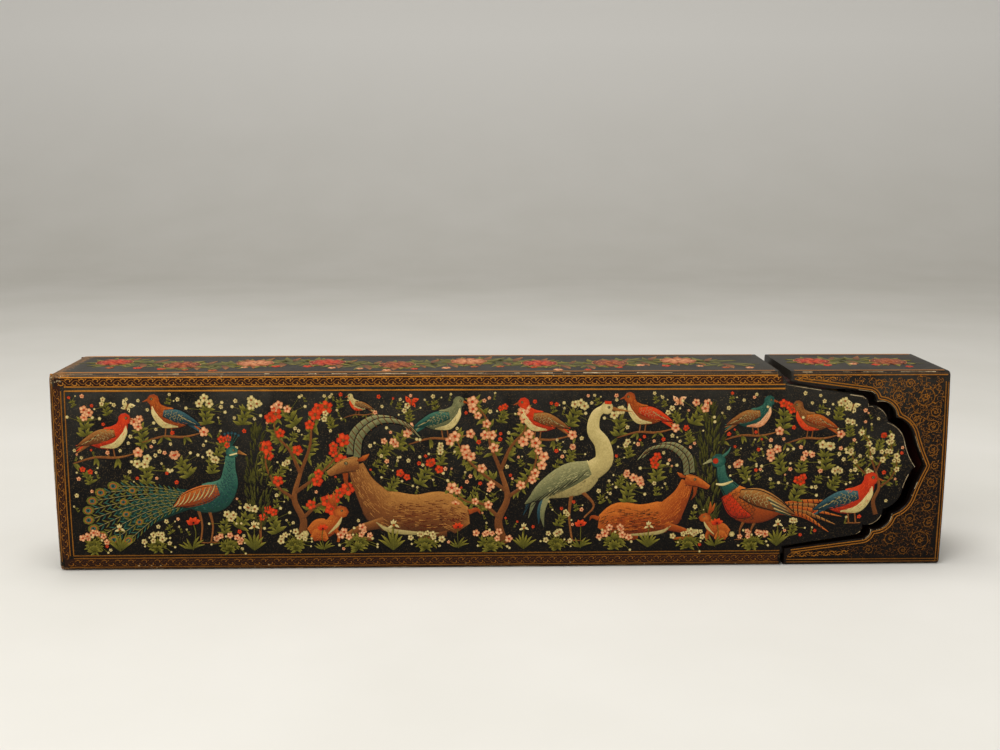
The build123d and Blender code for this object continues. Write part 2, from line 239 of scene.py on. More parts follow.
def handmade(node, name, material):
    """A finer copy of a shell's mesh, whose broad faces are crowned smoothly and a little
    uneven. An attribute says how worn each place is: most on the long edges, and round the
    top corner of the closed end, where the pale wear is partly a painted glint."""
    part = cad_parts[node]
    work = bmesh.new()
    work.from_mesh(part.data)
    bmesh.ops.remove_doubles(work, verts=work.verts, dist=1e-6)
    low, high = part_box(node)
    for axis in (0, 2):
        plane = [0, 0, 0]
        plane[axis] = 1
        for place in np.arange(low[axis] + MESH_STEP, high[axis], MESH_STEP):
            spot = [0, 0, 0]
            spot[axis] = place
            bmesh.ops.bisect_plane(work, geom=work.verts[:] + work.edges[:] + work.faces[:],
                                   dist=1e-6, plane_co=spot, plane_no=plane)
    mesh = bpy.data.meshes.new(name)
    work.to_mesh(mesh)
    work.free()
    if "custom_normal" in mesh.attributes:
        mesh.attributes.remove(mesh.attributes["custom_normal"])
    points = np.empty(len(mesh.vertices) * 3)
    mesh.vertices.foreach_get("co", points)
    points = points.reshape(-1, 3) / MM
    x, y, z = points[:, 0] + LENGTH / 2, points[:, 1], points[:, 2]
    side = np.sign(y)
    smooth_y = broad_height(x, z, -1) * (side < 0) + broad_height(x, z, 1) * (side > 0)
    plain_y = crowned(z)
    inner = np.minimum(np.minimum(z, HEIGHT - z) - LONG_EDGE_R, x - CLOSED_END_R)
    on_face = (np.abs(plain_y - np.abs(y)) < 0.1) & (inner > 0.01)
    depth = np.clip(1 - (plain_y - np.abs(y)) / 1.5, 0, 1)
    moved = np.where(on_face, smooth_y, np.abs(y) + depth * (smooth_y - plain_y))
    points[:, 1] = side * moved
    mesh.vertices.foreach_set("co", (points * MM).ravel())
    from_edge = np.hypot(EDGE_Y + 0.4 - np.abs(y), np.minimum(z, HEIGHT - z))
    from_end = np.hypot(x, np.minimum(z, HEIGHT - z))
    # The wear round the top corner of the closed end also stands for a painted glint there.
    from_corner = np.hypot(np.hypot(x, HEIGHT - z), (EDGE_Y - np.abs(y)) / 2)
    edge, ends, corner = (np.maximum(0, 1 - away / reach) for away, reach in
                          ((from_edge, EDGE_WEAR), (from_end, END_WEAR), (from_corner, CORNER_WEAR_AND_GLINT)))
    wear_and_glint = mesh.attributes.new("wear_and_glint", "FLOAT", "POINT")
    wear_and_glint.data.foreach_set("value", np.clip(edge + 0.8 * ends + corner, 0, 1).astype(np.float32))
    mesh.shade_smooth()
    mesh.set_sharp_from_angle(angle=math.radians(32))
    shell = new_piece(name, mesh, material)
    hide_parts(node)
    return shell


lacquer = black_lacquer("black_oil_ground_with_gold_dust", ("#040303", "#090706", "#110d0a"), 0.75)
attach(handmade("case_shell", "lacquered_shell", lacquer), "case")

# The gilding and the painting, done with fine brushes in shell gold and in pigments ground
# with gum, and lying a hair's breadth proud of the ground under the varnish. Each paint on
# a body is one piece, with the back of the case apart. A stroke is a thin ribbon or patch.
PAINTS = {
    "shell_gold": ("#3a1f09", "#a76a20", "#e0a044"),
    "red_bole": ("#150904", "#281208", "#3e1f0d"),
    "bare_gesso": ("#57462f", "#9d8a69", "#d8c9a6"),
    "bone_black": ("#050403", "#0d0906", "#1c140e"),
    "red_lead": ("#520e05", "#b22c0b", "#dc4f1d"),
    "verdigris": ("#08201a", "#1a4439", "#4c7961"),
    "indigo": ("#0a181c", "#1b363d", "#4c7272"),
    "lead_white": ("#5e5330", "#ad9a60", "#e0ca8e"),
    "terre_verte": ("#2c2f1e", "#62623f", "#a29a68"),
    "umber": ("#2b1307", "#71401a", "#b27b3a"),
    "rust_ochre": ("#421407", "#8c3b0e", "#c66f26"),
    "olive_green": ("#1a1b07", "#545016", "#968834"),
    "rose_lake": ("#7c3a1e", "#c07c50", "#e9bf8e"),
}
painted = {}
covered = {}
shift = random.Random(11)
BRUSH = ((-1.0, 0.0), (-0.72, 1.0), (0.72, 1.0), (1.0, 0.0))
FULL = ((-1.0, 0.0), (-0.88, 0.8), (-0.5, 1.0), (0.0, 1.0), (0.5, 1.0), (0.88, 0.8), (1.0, 0.0))
HAIR = ((-1.0, 0.0), (0.0, 1.0), (1.0, 0.0))
SUNK = 0.04


def curve(points, steps=5):
    """A smooth path through a few points."""
    points = np.asarray(points, float)
    if points.ndim == 1:
        points = points[:, None]
    ring = np.vstack([2 * points[:1] - points[1:2], points, 2 * points[-1:] - points[-2:-1]])
    a, b, c, d = ring[:-3, None], ring[1:-2, None], ring[2:-1, None], ring[3:, None]
    t = (np.arange(steps) / steps)[None, :, None]
    path = 0.5 * (2 * b + (c - a) * t + (2 * a - 5 * b + 4 * c - d) * t ** 2
                  + (3 * b - a - 3 * c + d) * t ** 3)
    return np.vstack([path.reshape(-1, points.shape[1]), points[-1:]])


def directions(path):
    """At each point of a path, a step of one along it and a step of one to its left."""
    along = np.gradient(path, axis=0)
    along /= np.maximum(np.linalg.norm(along, axis=1, keepdims=True), 1e-9)
    return along, np.stack([-along[:, 1], along[:, 0]], 1)


def tube(rows, count, first=0):
    """The sides of a tube: rows of points along it, with count points in each."""
    starts = [first + count * row for row in range(rows)]
    return [(a + i, a + i + 1, b + i + 1, b + i)
            for i in range(count - 1) for a, b in zip(starts, starts[1:] + starts[:1])]


def lay(ground, paint, points, faces, shades):
    """Adds a stroke's mesh to what this paint holds there."""
    store = painted.setdefault((ground[1], paint), [[], [], [], 0])
    store[0].append(points)
    store[1].extend([tuple(i + store[3] for i in face) for face in faces])
    store[2].append(shades)
    store[3] += len(points)


def stroke(ground, paint, path, widths, lift=0.05, shade=(0.5, 0.5), steps=5, smooth=True,
           rows=BRUSH, relief=0.12):
    """A brush stroke along a path, its full width given at each of the path's points. Its
    shade runs from one end to the other, and relief makes its upper side the lighter."""
    path = np.asarray(path, float)
    widths = np.broadcast_to(np.asarray(widths, float), (len(path),))
    if smooth and len(path) > 2:
        path, widths = curve(path, steps), np.maximum(curve(widths, steps)[:, 0], 0.02)
    across, n = directions(path)[1], len(path)
    tone = np.linspace(shade[0], shade[1], n)
    points, shades = [], []
    for side, rise in rows:
        spots = path + across * side * widths[:, None] / 2
        points.append(ground[0](spots, -SUNK + rise * (lift + SUNK)))
        shades.append(tone + relief * side * across[:, 1] - 0.12 * (abs(side) > 0.95))
    faces = tube(len(rows), n)
    faces.append(tuple(r * n for r in range(len(rows))))
    faces.append(tuple(r * n + n - 1 for r in reversed(range(len(rows)))))
    lay(ground, paint, np.vstack(points), faces, np.concatenate(shades))
    covered.setdefault(ground, []).append(np.column_stack([path, widths / 2]))


def patch(ground, paint, outline, lift=0.05, shade=(0.35, 0.65)):
    """A dab of paint inside an outline, from one shade at its rim to another within."""
    outline = np.asarray(outline, float)
    n = len(outline)
    middle = outline.mean(0)
    points = np.vstack([ground[0](outline, -SUNK), ground[0](middle + 0.86 * (outline - middle), lift),
                        ground[0](middle[None], lift)])
    faces = []
    for i in range(n):
        j = (i + 1) % n
        faces.append((i, j, n + j, n + i))
        faces.append((n + i, n + j, 2 * n))
    faces.append(tuple(range(n - 1, -1, -1)))
    shades = np.concatenate([np.full(n, shade[0] - 0.08), np.full(n, shade[0]), [shade[1]]])
    lay(ground, paint, points, faces, shades)
    reach = np.linalg.norm(outline - middle, axis=1).mean()
    covered.setdefault(ground, []).append(np.array([[*middle, reach]]))


def turning(angle):
    """The matrix that turns points by an angle."""
    c, s = math.cos(angle), math.sin(angle)
    return np.array([[c, s], [-s, c]])


def dot(ground, paint, at, radius, lift=0.06, shade=(0.5, 0.7), sides=6, stretch=1.0, turn=0.0):
    """A round or oval touch of the brush."""
    angle = np.arange(sides) * math.tau / sides
    ring = np.stack([np.cos(angle) * radius * stretch, np.sin(angle) * radius], 1)
    patch(ground, paint, ring @ turning(turn) + np.asarray(at, float), lift, shade)


def spot(ground, x, z, size=1.0, turn=0.0, flip=1, lift=0.0):
    """Where a motif stands on a face: its place, size, turn in degrees, whether it is
    mirrored, and how far it lies over what is painted there already."""
    return ground, np.array([x, z], float), size, math.radians(turn), flip, lift


def put(where, points):
    """A motif's own points, carried to its spot."""
    _, at, size, turn, flip, _ = where
    return np.atleast_2d(np.asarray(points, float)) * (flip * size, size) @ turning(turn) + at


def line(where, paint, path, widths, lift=0.05, shade=(0.45, 0.55), **more):
    """A stroke in a motif's own measure."""
    stroke(where[0], paint, put(where, path), np.asarray(widths, float) * where[2],
           lift + where[5], shade, **more)


def form(where, paint, path, widths, lift=0.06, shade=(0.45, 0.45), relief=0.3):
    """A body or limb, shaded from its underside up to its back, in a fine black outline."""
    line(where, "bone_black", path, np.asarray(widths, float) + 0.6 / where[2], lift - 0.03, (0.2, 0.2))
    line(where, paint, path, widths, lift, shade, rows=FULL, relief=relief)


def touch(where, paint, at, radius, lift=0.08, shade=(0.4, 0.7), sides=6, stretch=1.0, turn=0.0):
    """A dot in a motif's own measure."""
    dot(where[0], paint, put(where, at)[0], radius * where[2], lift + where[5], shade, sides,
        stretch, math.radians(turn) * where[4] + where[3])


def clearance(ground, x, z):
    """How far a place is from anything painted on this face so far."""
    if len(covered[ground]) > 1:
        covered[ground] = [np.vstack(covered[ground])]
    laid = covered[ground][0]
    return (np.hypot(laid[:, 0] - x, laid[:, 1] - z) - laid[:, 2]).min()


def heading(degrees):
    """A step of one in a direction."""
    return np.array([math.cos(math.radians(degrees)), math.sin(math.radians(degrees))])


def leaf(where, at, length, angle, width=0.34, paint="olive_green", lift=0.06, shade=(0.3, 0.75)):
    """A pointed leaf, in one press and lift of the brush."""
    at, ahead = np.asarray(at, float), heading(angle)
    bow = np.array([-ahead[1], ahead[0]]) * 0.08 * length
    line(where, paint, [at, at + ahead * length / 2 + bow, at + ahead * length],
         [0.3 * width * length, width * length, 0.04], lift, shade, steps=2)


def blossom(where, at, radius, paint="rose_lake", lift=0.1):
    """A five-petalled blossom with a spot of red or yellow in its heart."""
    first = shift.uniform(0, 72)
    heart = {"rose_lake": "red_lead", "red_lead": "umber"}.get(paint, "rust_ochre")
    for k in range(5):
        touch(where, paint, at + heading(first + 72 * k) * 0.56 * radius, shift.uniform(0.4, 0.5) * radius,
              lift, (0.55, 0.85) if k % 2 else (0.4, 0.7), sides=5)
    touch(where, heart, at, 0.24 * radius, lift + 0.04, (0.4, 0.6), sides=5)


def rose(where, at, radius, paint="red_lead", lift=0.1):
    """A full rose: four turns of petals, each darker at its rim, round a deep heart."""
    at = np.asarray(at, float)
    first = shift.uniform(0, 60)
    turns = ((9, 0.70, 0.30, 0.36), (7, 0.48, 0.28, 0.48), (5, 0.27, 0.22, 0.6), (3, 0.1, 0.15, 0.72))
    for turn, (count, reach, size, tone) in enumerate(turns):
        for k in range(count):
            angle = first + 360 * (k + turn / 2) / count
            touch(where, paint, at + heading(angle) * reach * radius, size * radius,
                  lift + 0.04 * turn, (tone - 0.3, tone + 0.15), 7, 0.85, angle)
            rim = [at + heading(angle + more) * (reach + 0.72 * size) * radius for more in (-14, 0, 14)]
            line(where, "rose_lake", rim, [0.03, 0.07 * radius, 0.03], lift + 0.04 * turn + 0.03,
                 (0.3, 0.5), steps=2)
    line(where, "rust_ochre", [at - (0.12 * radius, 0), at - (0, 0.08 * radius), at + (0.12 * radius, 0)],
         0.12 * radius, lift + 0.18, (0.1, 0.2), steps=3)


def sprig(where, height, paint="rose_lake", blooms=3, tiers=3):
    """A flowering tuft: broad leaves in tiers on a bent stem, blossoms at its top and buds on
    stalks beside them."""
    bend = shift.uniform(-0.15, 0.15) * height
    stem = curve([(0, 0), (0.3 * bend, 0.45 * height), (bend, 0.85 * height)], 4)
    line(where, "olive_green", stem, 0.22, smooth=False)
    for k in range(tiers):
        place = stem[int(0.8 * k / tiers * len(stem))]
        for lean in (-72, -34, 34, 72)[:4 if height > 3 else 2]:
            leaf(where, place, shift.uniform(0.26, 0.38) * height * (1 - 0.2 * k / tiers),
                 90 + lean + shift.uniform(-12, 12), 0.42)
    for k in range(blooms if height > 3.2 else 0):
        side = 1 if k % 2 else -1
        tip = heading(90 + side * shift.uniform(28, 62)) * shift.uniform(0.62, 0.95) * height
        line(where, "olive_green", [stem[len(stem) // 2], tip], 0.14, 0.06)
        touch(where, "lead_white", tip, max(0.3, 0.065 * height), 0.09, (0.5, 0.8), 5)
    for k in range(blooms):
        away = np.array([shift.uniform(-0.34, 0.34), shift.uniform(-0.3, 0.0)])
        tip = stem[-1] + away * height * (k > 0)
        blossom(where, tip, min(1.5, shift.uniform(0.14, 0.19) * height), paint)


def clump(where, height, paint="rose_lake"):
    """A low bush: five sprigs that fan out from one root."""
    for k in range(5):
        lean = 50 * (1 - 2 * k / 4) + shift.uniform(-6, 6)
        at = put(where, (shift.uniform(-0.6, 0.6), 0))[0]
        sprig((where[0], at, where[2], math.radians(lean), where[4], where[5]),
              height * shift.uniform(0.75, 1.0), paint, blooms=1 + k % 2, tiers=2)


def flag(where, height, paint="lead_white"):
    """An iris: a fan of sword leaves, and a flower of three petals up and two down."""
    for k in range(7):
        angle = 90 + 17 * (k - 3) + shift.uniform(-4, 4)
        reach = height * shift.uniform(0.6, 0.8) * (1 - 0.07 * abs(k - 3))
        tip = heading(angle) * reach + (0.0, -0.01 * reach)
        line(where, "olive_green", [(0, 0), tip * 0.55 + (0, 0.06 * reach), tip],
             [0.5, 0.11 * height, 0.04], 0.06, (0.25, 0.85), steps=3)
    line(where, "olive_green", [(0, 0), (0.2, height * 0.85)], 0.3, 0.08)
    crown = np.array([0.2, height * 0.85])
    for angle, reach in ((90, 0.2), (58, 0.17), (122, 0.17), (-25, 0.2), (205, 0.2)):
        leaf(where, crown, reach * height, angle, 0.5, paint, 0.12, (0.4, 0.85))
    touch(where, "rust_ochre", crown, 0.05 * height, 0.16)


def poppy(where, height, paint="red_lead"):
    """A poppy: a bent stem, cut leaves and a bowl of four petals."""
    bend = shift.uniform(-0.12, 0.12) * height
    line(where, "olive_green", [(0, 0), (bend, 0.5 * height), (bend / 2, 0.82 * height)], 0.26, 0.08)
    for angle in (40, 62, 118, 142, 20, 160):
        leaf(where, (0, 0.04 * height), shift.uniform(0.36, 0.48) * height, angle, 0.2)
    crown = np.array([bend / 2, 0.82 * height])
    for angle in (150, 30, 112, 68):
        leaf(where, crown, 0.24 * height, angle, 0.75, paint, 0.12, (0.25, 0.8))
    touch(where, "bone_black", crown + (0, 0.05 * height), 0.04 * height, 0.16)


def tree(where, trunk, boughs, width, bloom, radius=1.3, flowers=0.75):
    """A flowering tree: its trunk, its boughs, and leaves and blossoms along them."""
    form(where, "umber", trunk, np.linspace(width, 0.45 * width, len(trunk)), 0.06, (0.3, 0.5))
    for bough in boughs:
        line(where, "umber", bough, np.linspace(0.45 * width, 0.3, len(bough)), 0.07, (0.35, 0.5))
        path = curve(bough, 5)
        for k, place in enumerate(path[3:]):
            for _ in range(3):
                leaf(where, place, shift.uniform(2.0, 3.4), shift.uniform(0, 360), 0.36)
            if shift.random() < flowers and k % 2:
                off = heading(shift.uniform(0, 360)) * shift.uniform(0.6, 2.6)
                blossom(where, place + off, radius * shift.uniform(0.8, 1.15), bloom)
        if radius > 2:
            rose(where, path[-1], radius * 1.15, bloom)
        else:
            blossom(where, path[-1], radius * 1.2, bloom)


def cypress(where, height, width):
    """A cypress: short upright strokes, packed into a spindle."""
    line(where, "umber", [(0, 0), (0, 0.2 * height)], 0.9)
    for k in range(150):
        up = shift.random()
        half = 0.5 * width * math.sin(math.pi * min(1.0, 0.06 + up * 0.94)) ** 0.75
        side = shift.uniform(-1, 1)
        leaf(where, (side * half, (0.08 + 0.84 * up) * height), 0.075 * height,
             90 - 22 * side, 0.22, "olive_green", 0.06 + 0.05 * shift.random(),
             (0.05, 0.5 - 0.25 * abs(side)))


def hatch(where, paint, path, widths, count, length, lift, shade=(0.3, 0.5)):
    """Hair or small feathers: short strokes that follow a form."""
    spine, span = curve(path, 8), curve(widths, 8)[:, 0]
    along, across = directions(spine)
    for _ in range(count):
        k = shift.randrange(1, len(spine) - 1)
        at = spine[k] + across[k] * shift.uniform(-0.4, 0.4) * span[k]
        end = at - (along[k] + across[k] * shift.uniform(-0.25, 0.25)) * length * shift.uniform(0.6, 1.2)
        line(where, paint, [at, end], [0.16 * length, 0.03], lift, shade)


def scales(where, paint, path, widths, size, lift, shade=(0.4, 0.4)):
    """Feathers drawn as rows of small scallops along a form."""
    spine, span = curve(path, 12), curve(widths, 12)[:, 0]
    along, across = directions(spine)
    run = np.cumsum(np.linalg.norm(np.diff(spine, axis=0), axis=1))
    for row, reached in enumerate(np.arange(size, run[-1], 0.75 * size)):
        k = int(np.searchsorted(run, reached))
        half, back = across[k] * 0.45 * size, along[k] * 0.5 * size
        count = int(0.86 * span[k] / size)
        for j in range(count - row % 2):
            at = spine[k] + across[k] * (j - (count - 1 - row % 2) / 2) * size
            line(where, paint, [at + half, at - back, at - half], [0.1 * size, 0.2 * size, 0.1 * size],
                 lift, shade, steps=2)


def eye(where, at, radius):
    """An eye: dark round a small light ring."""
    touch(where, "bone_black", at, radius, 0.2, (0.6, 0.6), 7)
    touch(where, "lead_white", at, 0.62 * radius, 0.24, (0.4, 0.4), 7)
    touch(where, "bone_black", np.add(at, (0.08 * radius, 0)), 0.4 * radius, 0.28, (0.2, 0.2), 6)


def bird(where, body, wing, breast, tail=8.0, droop=2.5):
    """A bird standing on the ground, facing right, about 12 mm from beak to rump."""
    for x in (0.3, 1.9):
        line(where, "umber", [(x, 3.2), (x + 0.4, 0.3)], 0.4)
        line(where, "umber", [(x - 0.5, 0.1), (x + 1.5, 0.2)], 0.3)
    for k in range(4):
        low = droop * (0.5 + 0.3 * k)
        line(where, (body, wing)[k % 2], [(-3.6, 4.6), (-0.6 * tail, 4.7 - 0.3 * low), (-tail, 4.6 - low)],
             [1.6, 1.3, 0.15], 0.05 + 0.015 * k, (0.3, 0.65))
    form(where, body, [(-5, 4.5), (-1.5, 5.0), (2, 5.8), (4.3, 8.2), (4.9, 10.2)],
         [1.6, 5.4, 6.4, 3.9, 2.6], 0.08)
    line(where, breast, [(-1.4, 2.9), (2.6, 3.6), (5.1, 6.6), (5.6, 8.8)], [0.4, 2.0, 1.6, 0.4], 0.11,
         (0.5, 0.75))
    form(where, wing, [(2.6, 6.8), (-1, 6.0), (-5, 4.5), (-7.6, 3.4)], [2.2, 4.0, 2.6, 0.2], 0.14,
         (0.55, 0.35))
    for k in range(5):
        quill = [(-1.6 - 0.7 * k, 6.4 - 0.42 * k), (-4.4 - 0.5 * k, 4.5 - 0.2 * k)]
        line(where, ("lead_white", "bone_black")[k % 2], quill, [0.32, 0.08], 0.18, (0.3, 0.5))
    hatch(where, body, [(-4, 4.5), (-1, 5.0), (2, 5.8), (4.3, 8.2), (4.9, 10.2)],
          [1.6, 5.2, 6.2, 3.8, 2.6], 60, 0.9, 0.13, (0.85, 0.6))
    scales(where, "lead_white", [(2.4, 6.8), (-0.6, 6.1), (-3.6, 5.0)], [2.4, 3.6, 3.0], 0.95, 0.17,
           (0.2, 0.3))
    hatch(where, breast, [(-1.2, 2.9), (2.6, 3.6), (5.1, 6.6)], [0.4, 1.9, 1.5], 22, 0.8, 0.14, (0.15, 0.3))
    touch(where, body, (5.3, 10.6), 1.75, 0.12, (0.45, 0.65), 9)
    line(where, "rust_ochre", [(6.6, 10.7), (8.3, 10.1)], [0.85, 0.1], 0.13, (0.4, 0.6))
    eye(where, (5.8, 10.9), 0.46)


def toes(where, x, z, spread, widths):
    """Three toes from an ankle down to the ground."""
    for toe in spread:
        line(where, "umber", [(x, z), (x + toe, 0.1 * abs(toe))], widths)


def pheasant(where):
    """A cock pheasant with a long barred tail, facing right."""
    for x in (-0.6, 2.4):
        line(where, "umber", [(x, 5), (x + 0.9, 2.6), (x + 0.3, 0.3)], [0.9, 0.5, 0.4])
        toes(where, x + 0.3, 0.4, (-1.0, 1.0, 1.9), [0.36, 0.15])
    for k in range(5):
        plume = [(-5, 9.0 - 0.3 * k), (-13, 10.4 - 0.9 * k), (-25 + 1.6 * abs(k - 1), 10.6 - 2.1 * k)]
        form(where, ("rust_ochre", "umber")[k % 2], plume, [1.7, 1.5, 0.15], 0.05 + 0.02 * k, (0.4, 0.7))
        for place in curve(plume, 7)[2:13]:
            line(where, "bone_black", [place + (-0.15, -0.5), place + (0.15, 0.5)], 0.26, 0.1 + 0.02 * k)
    form(where, "rust_ochre", [(-8, 8.8), (-3, 9.0), (2.6, 10.0), (6.2, 13.2)], [2.6, 8.6, 9.8, 5.8], 0.16,
         (0.5, 0.6), 0.38)
    form(where, "red_lead", [(0.6, 6.6), (4.4, 8.2), (7.4, 12.4)], [1.0, 4.6, 3.0], 0.19, (0.3, 0.5))
    scales(where, "umber", [(-1, 8.2), (3, 9.4), (7, 13.6)], [7, 8.8, 5.6], 1.15, 0.24, (0.1, 0.2))
    form(where, "umber", [(3.6, 12.8), (-1, 11.6), (-6, 9.6), (-11, 7.2)], [2.6, 5.6, 4.2, 0.3], 0.24,
         (0.6, 0.45))
    scales(where, "lead_white", [(3.0, 12.6), (-1, 11.6), (-4.4, 10.4)], [2.6, 5.0, 4.4], 1.1, 0.29,
           (0.3, 0.4))
    for k in range(6):
        line(where, ("lead_white", "verdigris")[k % 2],
             [(-3.4 - 0.5 * k, 11.8 - 0.75 * k), (-8.6 - 0.35 * k, 8.9 - 0.5 * k)], [0.45, 0.1], 0.3,
             (0.5, 0.3))
    form(where, "verdigris", [(5.8, 13.4), (8.2, 16.8), (8.9, 20.4)], [5.2, 3.4, 2.8], 0.21, (0.4, 0.65))
    line(where, "lead_white", [(5.6, 16.2), (8.0, 15.3), (10.0, 15.4)], [0.5, 0.9, 0.4], 0.26, (0.6, 0.8))
    touch(where, "verdigris", (9.5, 21.6), 2.0, 0.25, (0.45, 0.7), 10)
    touch(where, "red_lead", (10.3, 21.6), 0.9, 0.29, (0.3, 0.5), 8)
    line(where, "terre_verte", [(11.2, 21.8), (13.6, 20.7)], [1.2, 0.15], 0.27, (0.6, 0.9))
    line(where, "verdigris", [(8.6, 22.6), (7.2, 23.8), (6.4, 25.2)], [0.9, 0.6, 0.1], 0.24, (0.6, 0.8))
    eye(where, (10.2, 22.0), 0.45)


def peacock(where):
    """A peacock with its train behind it, facing right, its feet on the ground."""
    for x in (-2.2, 1.2):
        line(where, "umber", [(x, 11.5), (x + 1.0, 6), (x + 0.2, 0.4)], [1.3, 0.7, 0.6])
        toes(where, x + 0.2, 0.5, (-1.4, 1.4, 2.6), [0.5, 0.2])
    form(where, "verdigris", [(-3, 15), (-10, 14.2), (-19, 11), (-27, 7.6)], [6, 9, 10, 9], 0.05,
         (0.25, 0.05), 0.1)
    for k in range(9):
        bow, reach = 171 + 5.2 * k, 35 - 0.55 * (k - 4) ** 2
        quill = curve([(-3, 16.4 - 0.3 * k), np.array([-3, 16]) + heading(bow - 4) * reach * 0.5,
                       np.array([-3, 15.4]) + heading(bow) * reach], 9)
        line(where, "lead_white", quill, 0.2, 0.1, (0.2, 0.3), smooth=False)
        for j in range(3, 18):
            back = quill[j] - quill[j - 1]
            flow = math.degrees(math.atan2(back[1], back[0]))
            for side in (-1, 1):
                leaf(where, quill[j], 1.9 + 0.04 * j, flow + side * 34, 0.2,
                     ("olive_green", "verdigris")[(j + k) % 2], 0.11, (0.3, 0.75))
        for at, size in ((quill[-1], 1.0), (quill[12], 0.8))[:1 + k % 2]:
            touch(where, "olive_green", at, 1.6 * size, 0.15, (0.5, 0.9), 9, 1.25, bow)
            touch(where, "rust_ochre", at, 1.15 * size, 0.19, (0.6, 0.8), 8, 1.2, bow)
            touch(where, "verdigris", at, 0.85 * size, 0.23, (0.5, 0.95), 8, 1.2, bow)
            touch(where, "indigo", at, 0.45 * size, 0.27, (0.1, 0.2), 7)
    form(where, "verdigris", [(-6, 14.6), (-1, 15), (4, 16.2), (7.6, 20), (8.2, 25), (8.6, 29)],
         [5, 9.6, 10.4, 6.8, 4.2, 3.4], 0.12, (0.45, 0.7), 0.35)
    scales(where, "indigo", [(-1, 15), (4, 16.2), (7.6, 20), (8.2, 25), (8.6, 28)], [9, 10, 6.6, 4.2, 3.4],
           1.25, 0.2, (0.35, 0.5))
    form(where, "rust_ochre", [(4.4, 18), (0, 16.6), (-6, 14.6), (-10, 12.6)], [4, 6.6, 5.4, 0.5], 0.2,
         (0.55, 0.4))
    for k in range(8):
        line(where, "lead_white", [(3.6 - 1.6 * k, 20 - 0.55 * k), (2.6 - 1.6 * k, 17.6 - 0.55 * k),
                                   (1.2 - 1.6 * k, 15.6 - 0.45 * k)], [0.15, 0.5, 0.15], 0.25,
             (0.35, 0.55), steps=3)
    hatch(where, "verdigris", [(-4, 14.6), (-1, 15), (4, 16.2), (7.6, 20), (8.2, 25), (8.6, 29)],
          [5, 9.4, 10.2, 6.6, 4.0, 3.2], 90, 0.8, 0.2, (0.95, 0.7))
    touch(where, "verdigris", (9.2, 30.4), 2.2, 0.16, (0.5, 0.8), 10)
    line(where, "umber", [(11.0, 30.5), (13.8, 29.4)], [1.5, 0.2], 0.17, (0.5, 0.8))
    line(where, "lead_white", [(8.4, 29.4), (10.8, 30.0)], 0.6, 0.2, (0.7, 0.8))
    eye(where, (9.7, 31.0), 0.5)
    for k in range(5):
        tip = heading(112 - 14 * k) * 4.6 + (8.8, 32)
        line(where, "verdigris", [(8.8, 32), tip], 0.22, 0.12)
        touch(where, "indigo", tip, 0.55, 0.14, (0.4, 0.7))


def crane(where, neck, beak):
    """A crane on one leg, facing right. neck runs from its breast to its head, and beak is
    the direction of its beak."""
    line(where, "umber", [(0, 15), (-0.7, 8), (0.2, 0.4)], [1.4, 0.8, 0.6])
    line(where, "umber", [(2.5, 15.5), (6.4, 11), (3.6, 7.2)], [1.4, 0.7, 0.5])
    toes(where, 0.2, 0.4, (-1.8, 1.6, 3.0), [0.5, 0.2])
    for k in range(6):
        line(where, ("bone_black", "indigo", "terre_verte")[k % 3],
             [(-7, 15.5 - 0.2 * k), (-12 + 0.7 * k, 14.6 - 1.1 * k), (-15.5 + 1.5 * k, 9 - 0.9 * k)],
             [2.2, 1.7, 0.2], 0.05 + 0.015 * k, (0.75, 0.35))
    form(where, "lead_white", [(-9, 14.4), (-4, 17), (2, 19.3), (6, 21.4)], [3.5, 8.6, 10.4, 7], 0.1,
         (0.35, 0.55))
    form(where, "lead_white", neck, np.linspace(6.6, 2.4, len(neck)), 0.12, (0.45, 0.6), 0.25)
    form(where, "terre_verte", [(5, 22), (-1, 19.8), (-8, 15.6), (-13.5, 11.5)], [5, 7.6, 5.6, 0.4], 0.15,
         (0.6, 0.4))
    hatch(where, "lead_white", [(-7, 14.6), (-4, 17), (2, 19.3), (6, 21.4)], [3.5, 8.4, 10.2, 7], 70, 1.4,
          0.14, (0.1, 0.3))
    hatch(where, "terre_verte", [(4, 22), (-1, 19.8), (-8, 15.6)], [5, 7.4, 5.4], 60, 1.6, 0.19, (0.9, 0.8))
    for k in range(7):
        line(where, "bone_black", [(4.6 - 2.3 * k, 21.6 - 1.3 * k), (1.6 - 2.3 * k, 18.6 - 1.2 * k),
                                   (-1.2 - 2.1 * k, 16.6 - 1.2 * k)], [0.1, 0.32, 0.1], 0.2,
             (0.8, 0.9), steps=3)
    head = np.asarray(neck[-1], float) + heading(beak) * 0.8
    touch(where, "lead_white", head, 1.9, 0.17, (0.5, 0.7), 9)
    ahead = heading(beak)
    line(where, "umber", [head + ahead * 1.4, head + ahead * 7.4], [1.3, 0.15], 0.16, (0.5, 0.7))
    above = np.array([-ahead[1], ahead[0]])
    line(where, "red_lead", [head + above * 1.5 - ahead * 0.9, head + above * 1.6 + ahead * 1.0], 1.0, 0.2)
    eye(where, head + ahead * 0.5 + above * 0.3, 0.5)


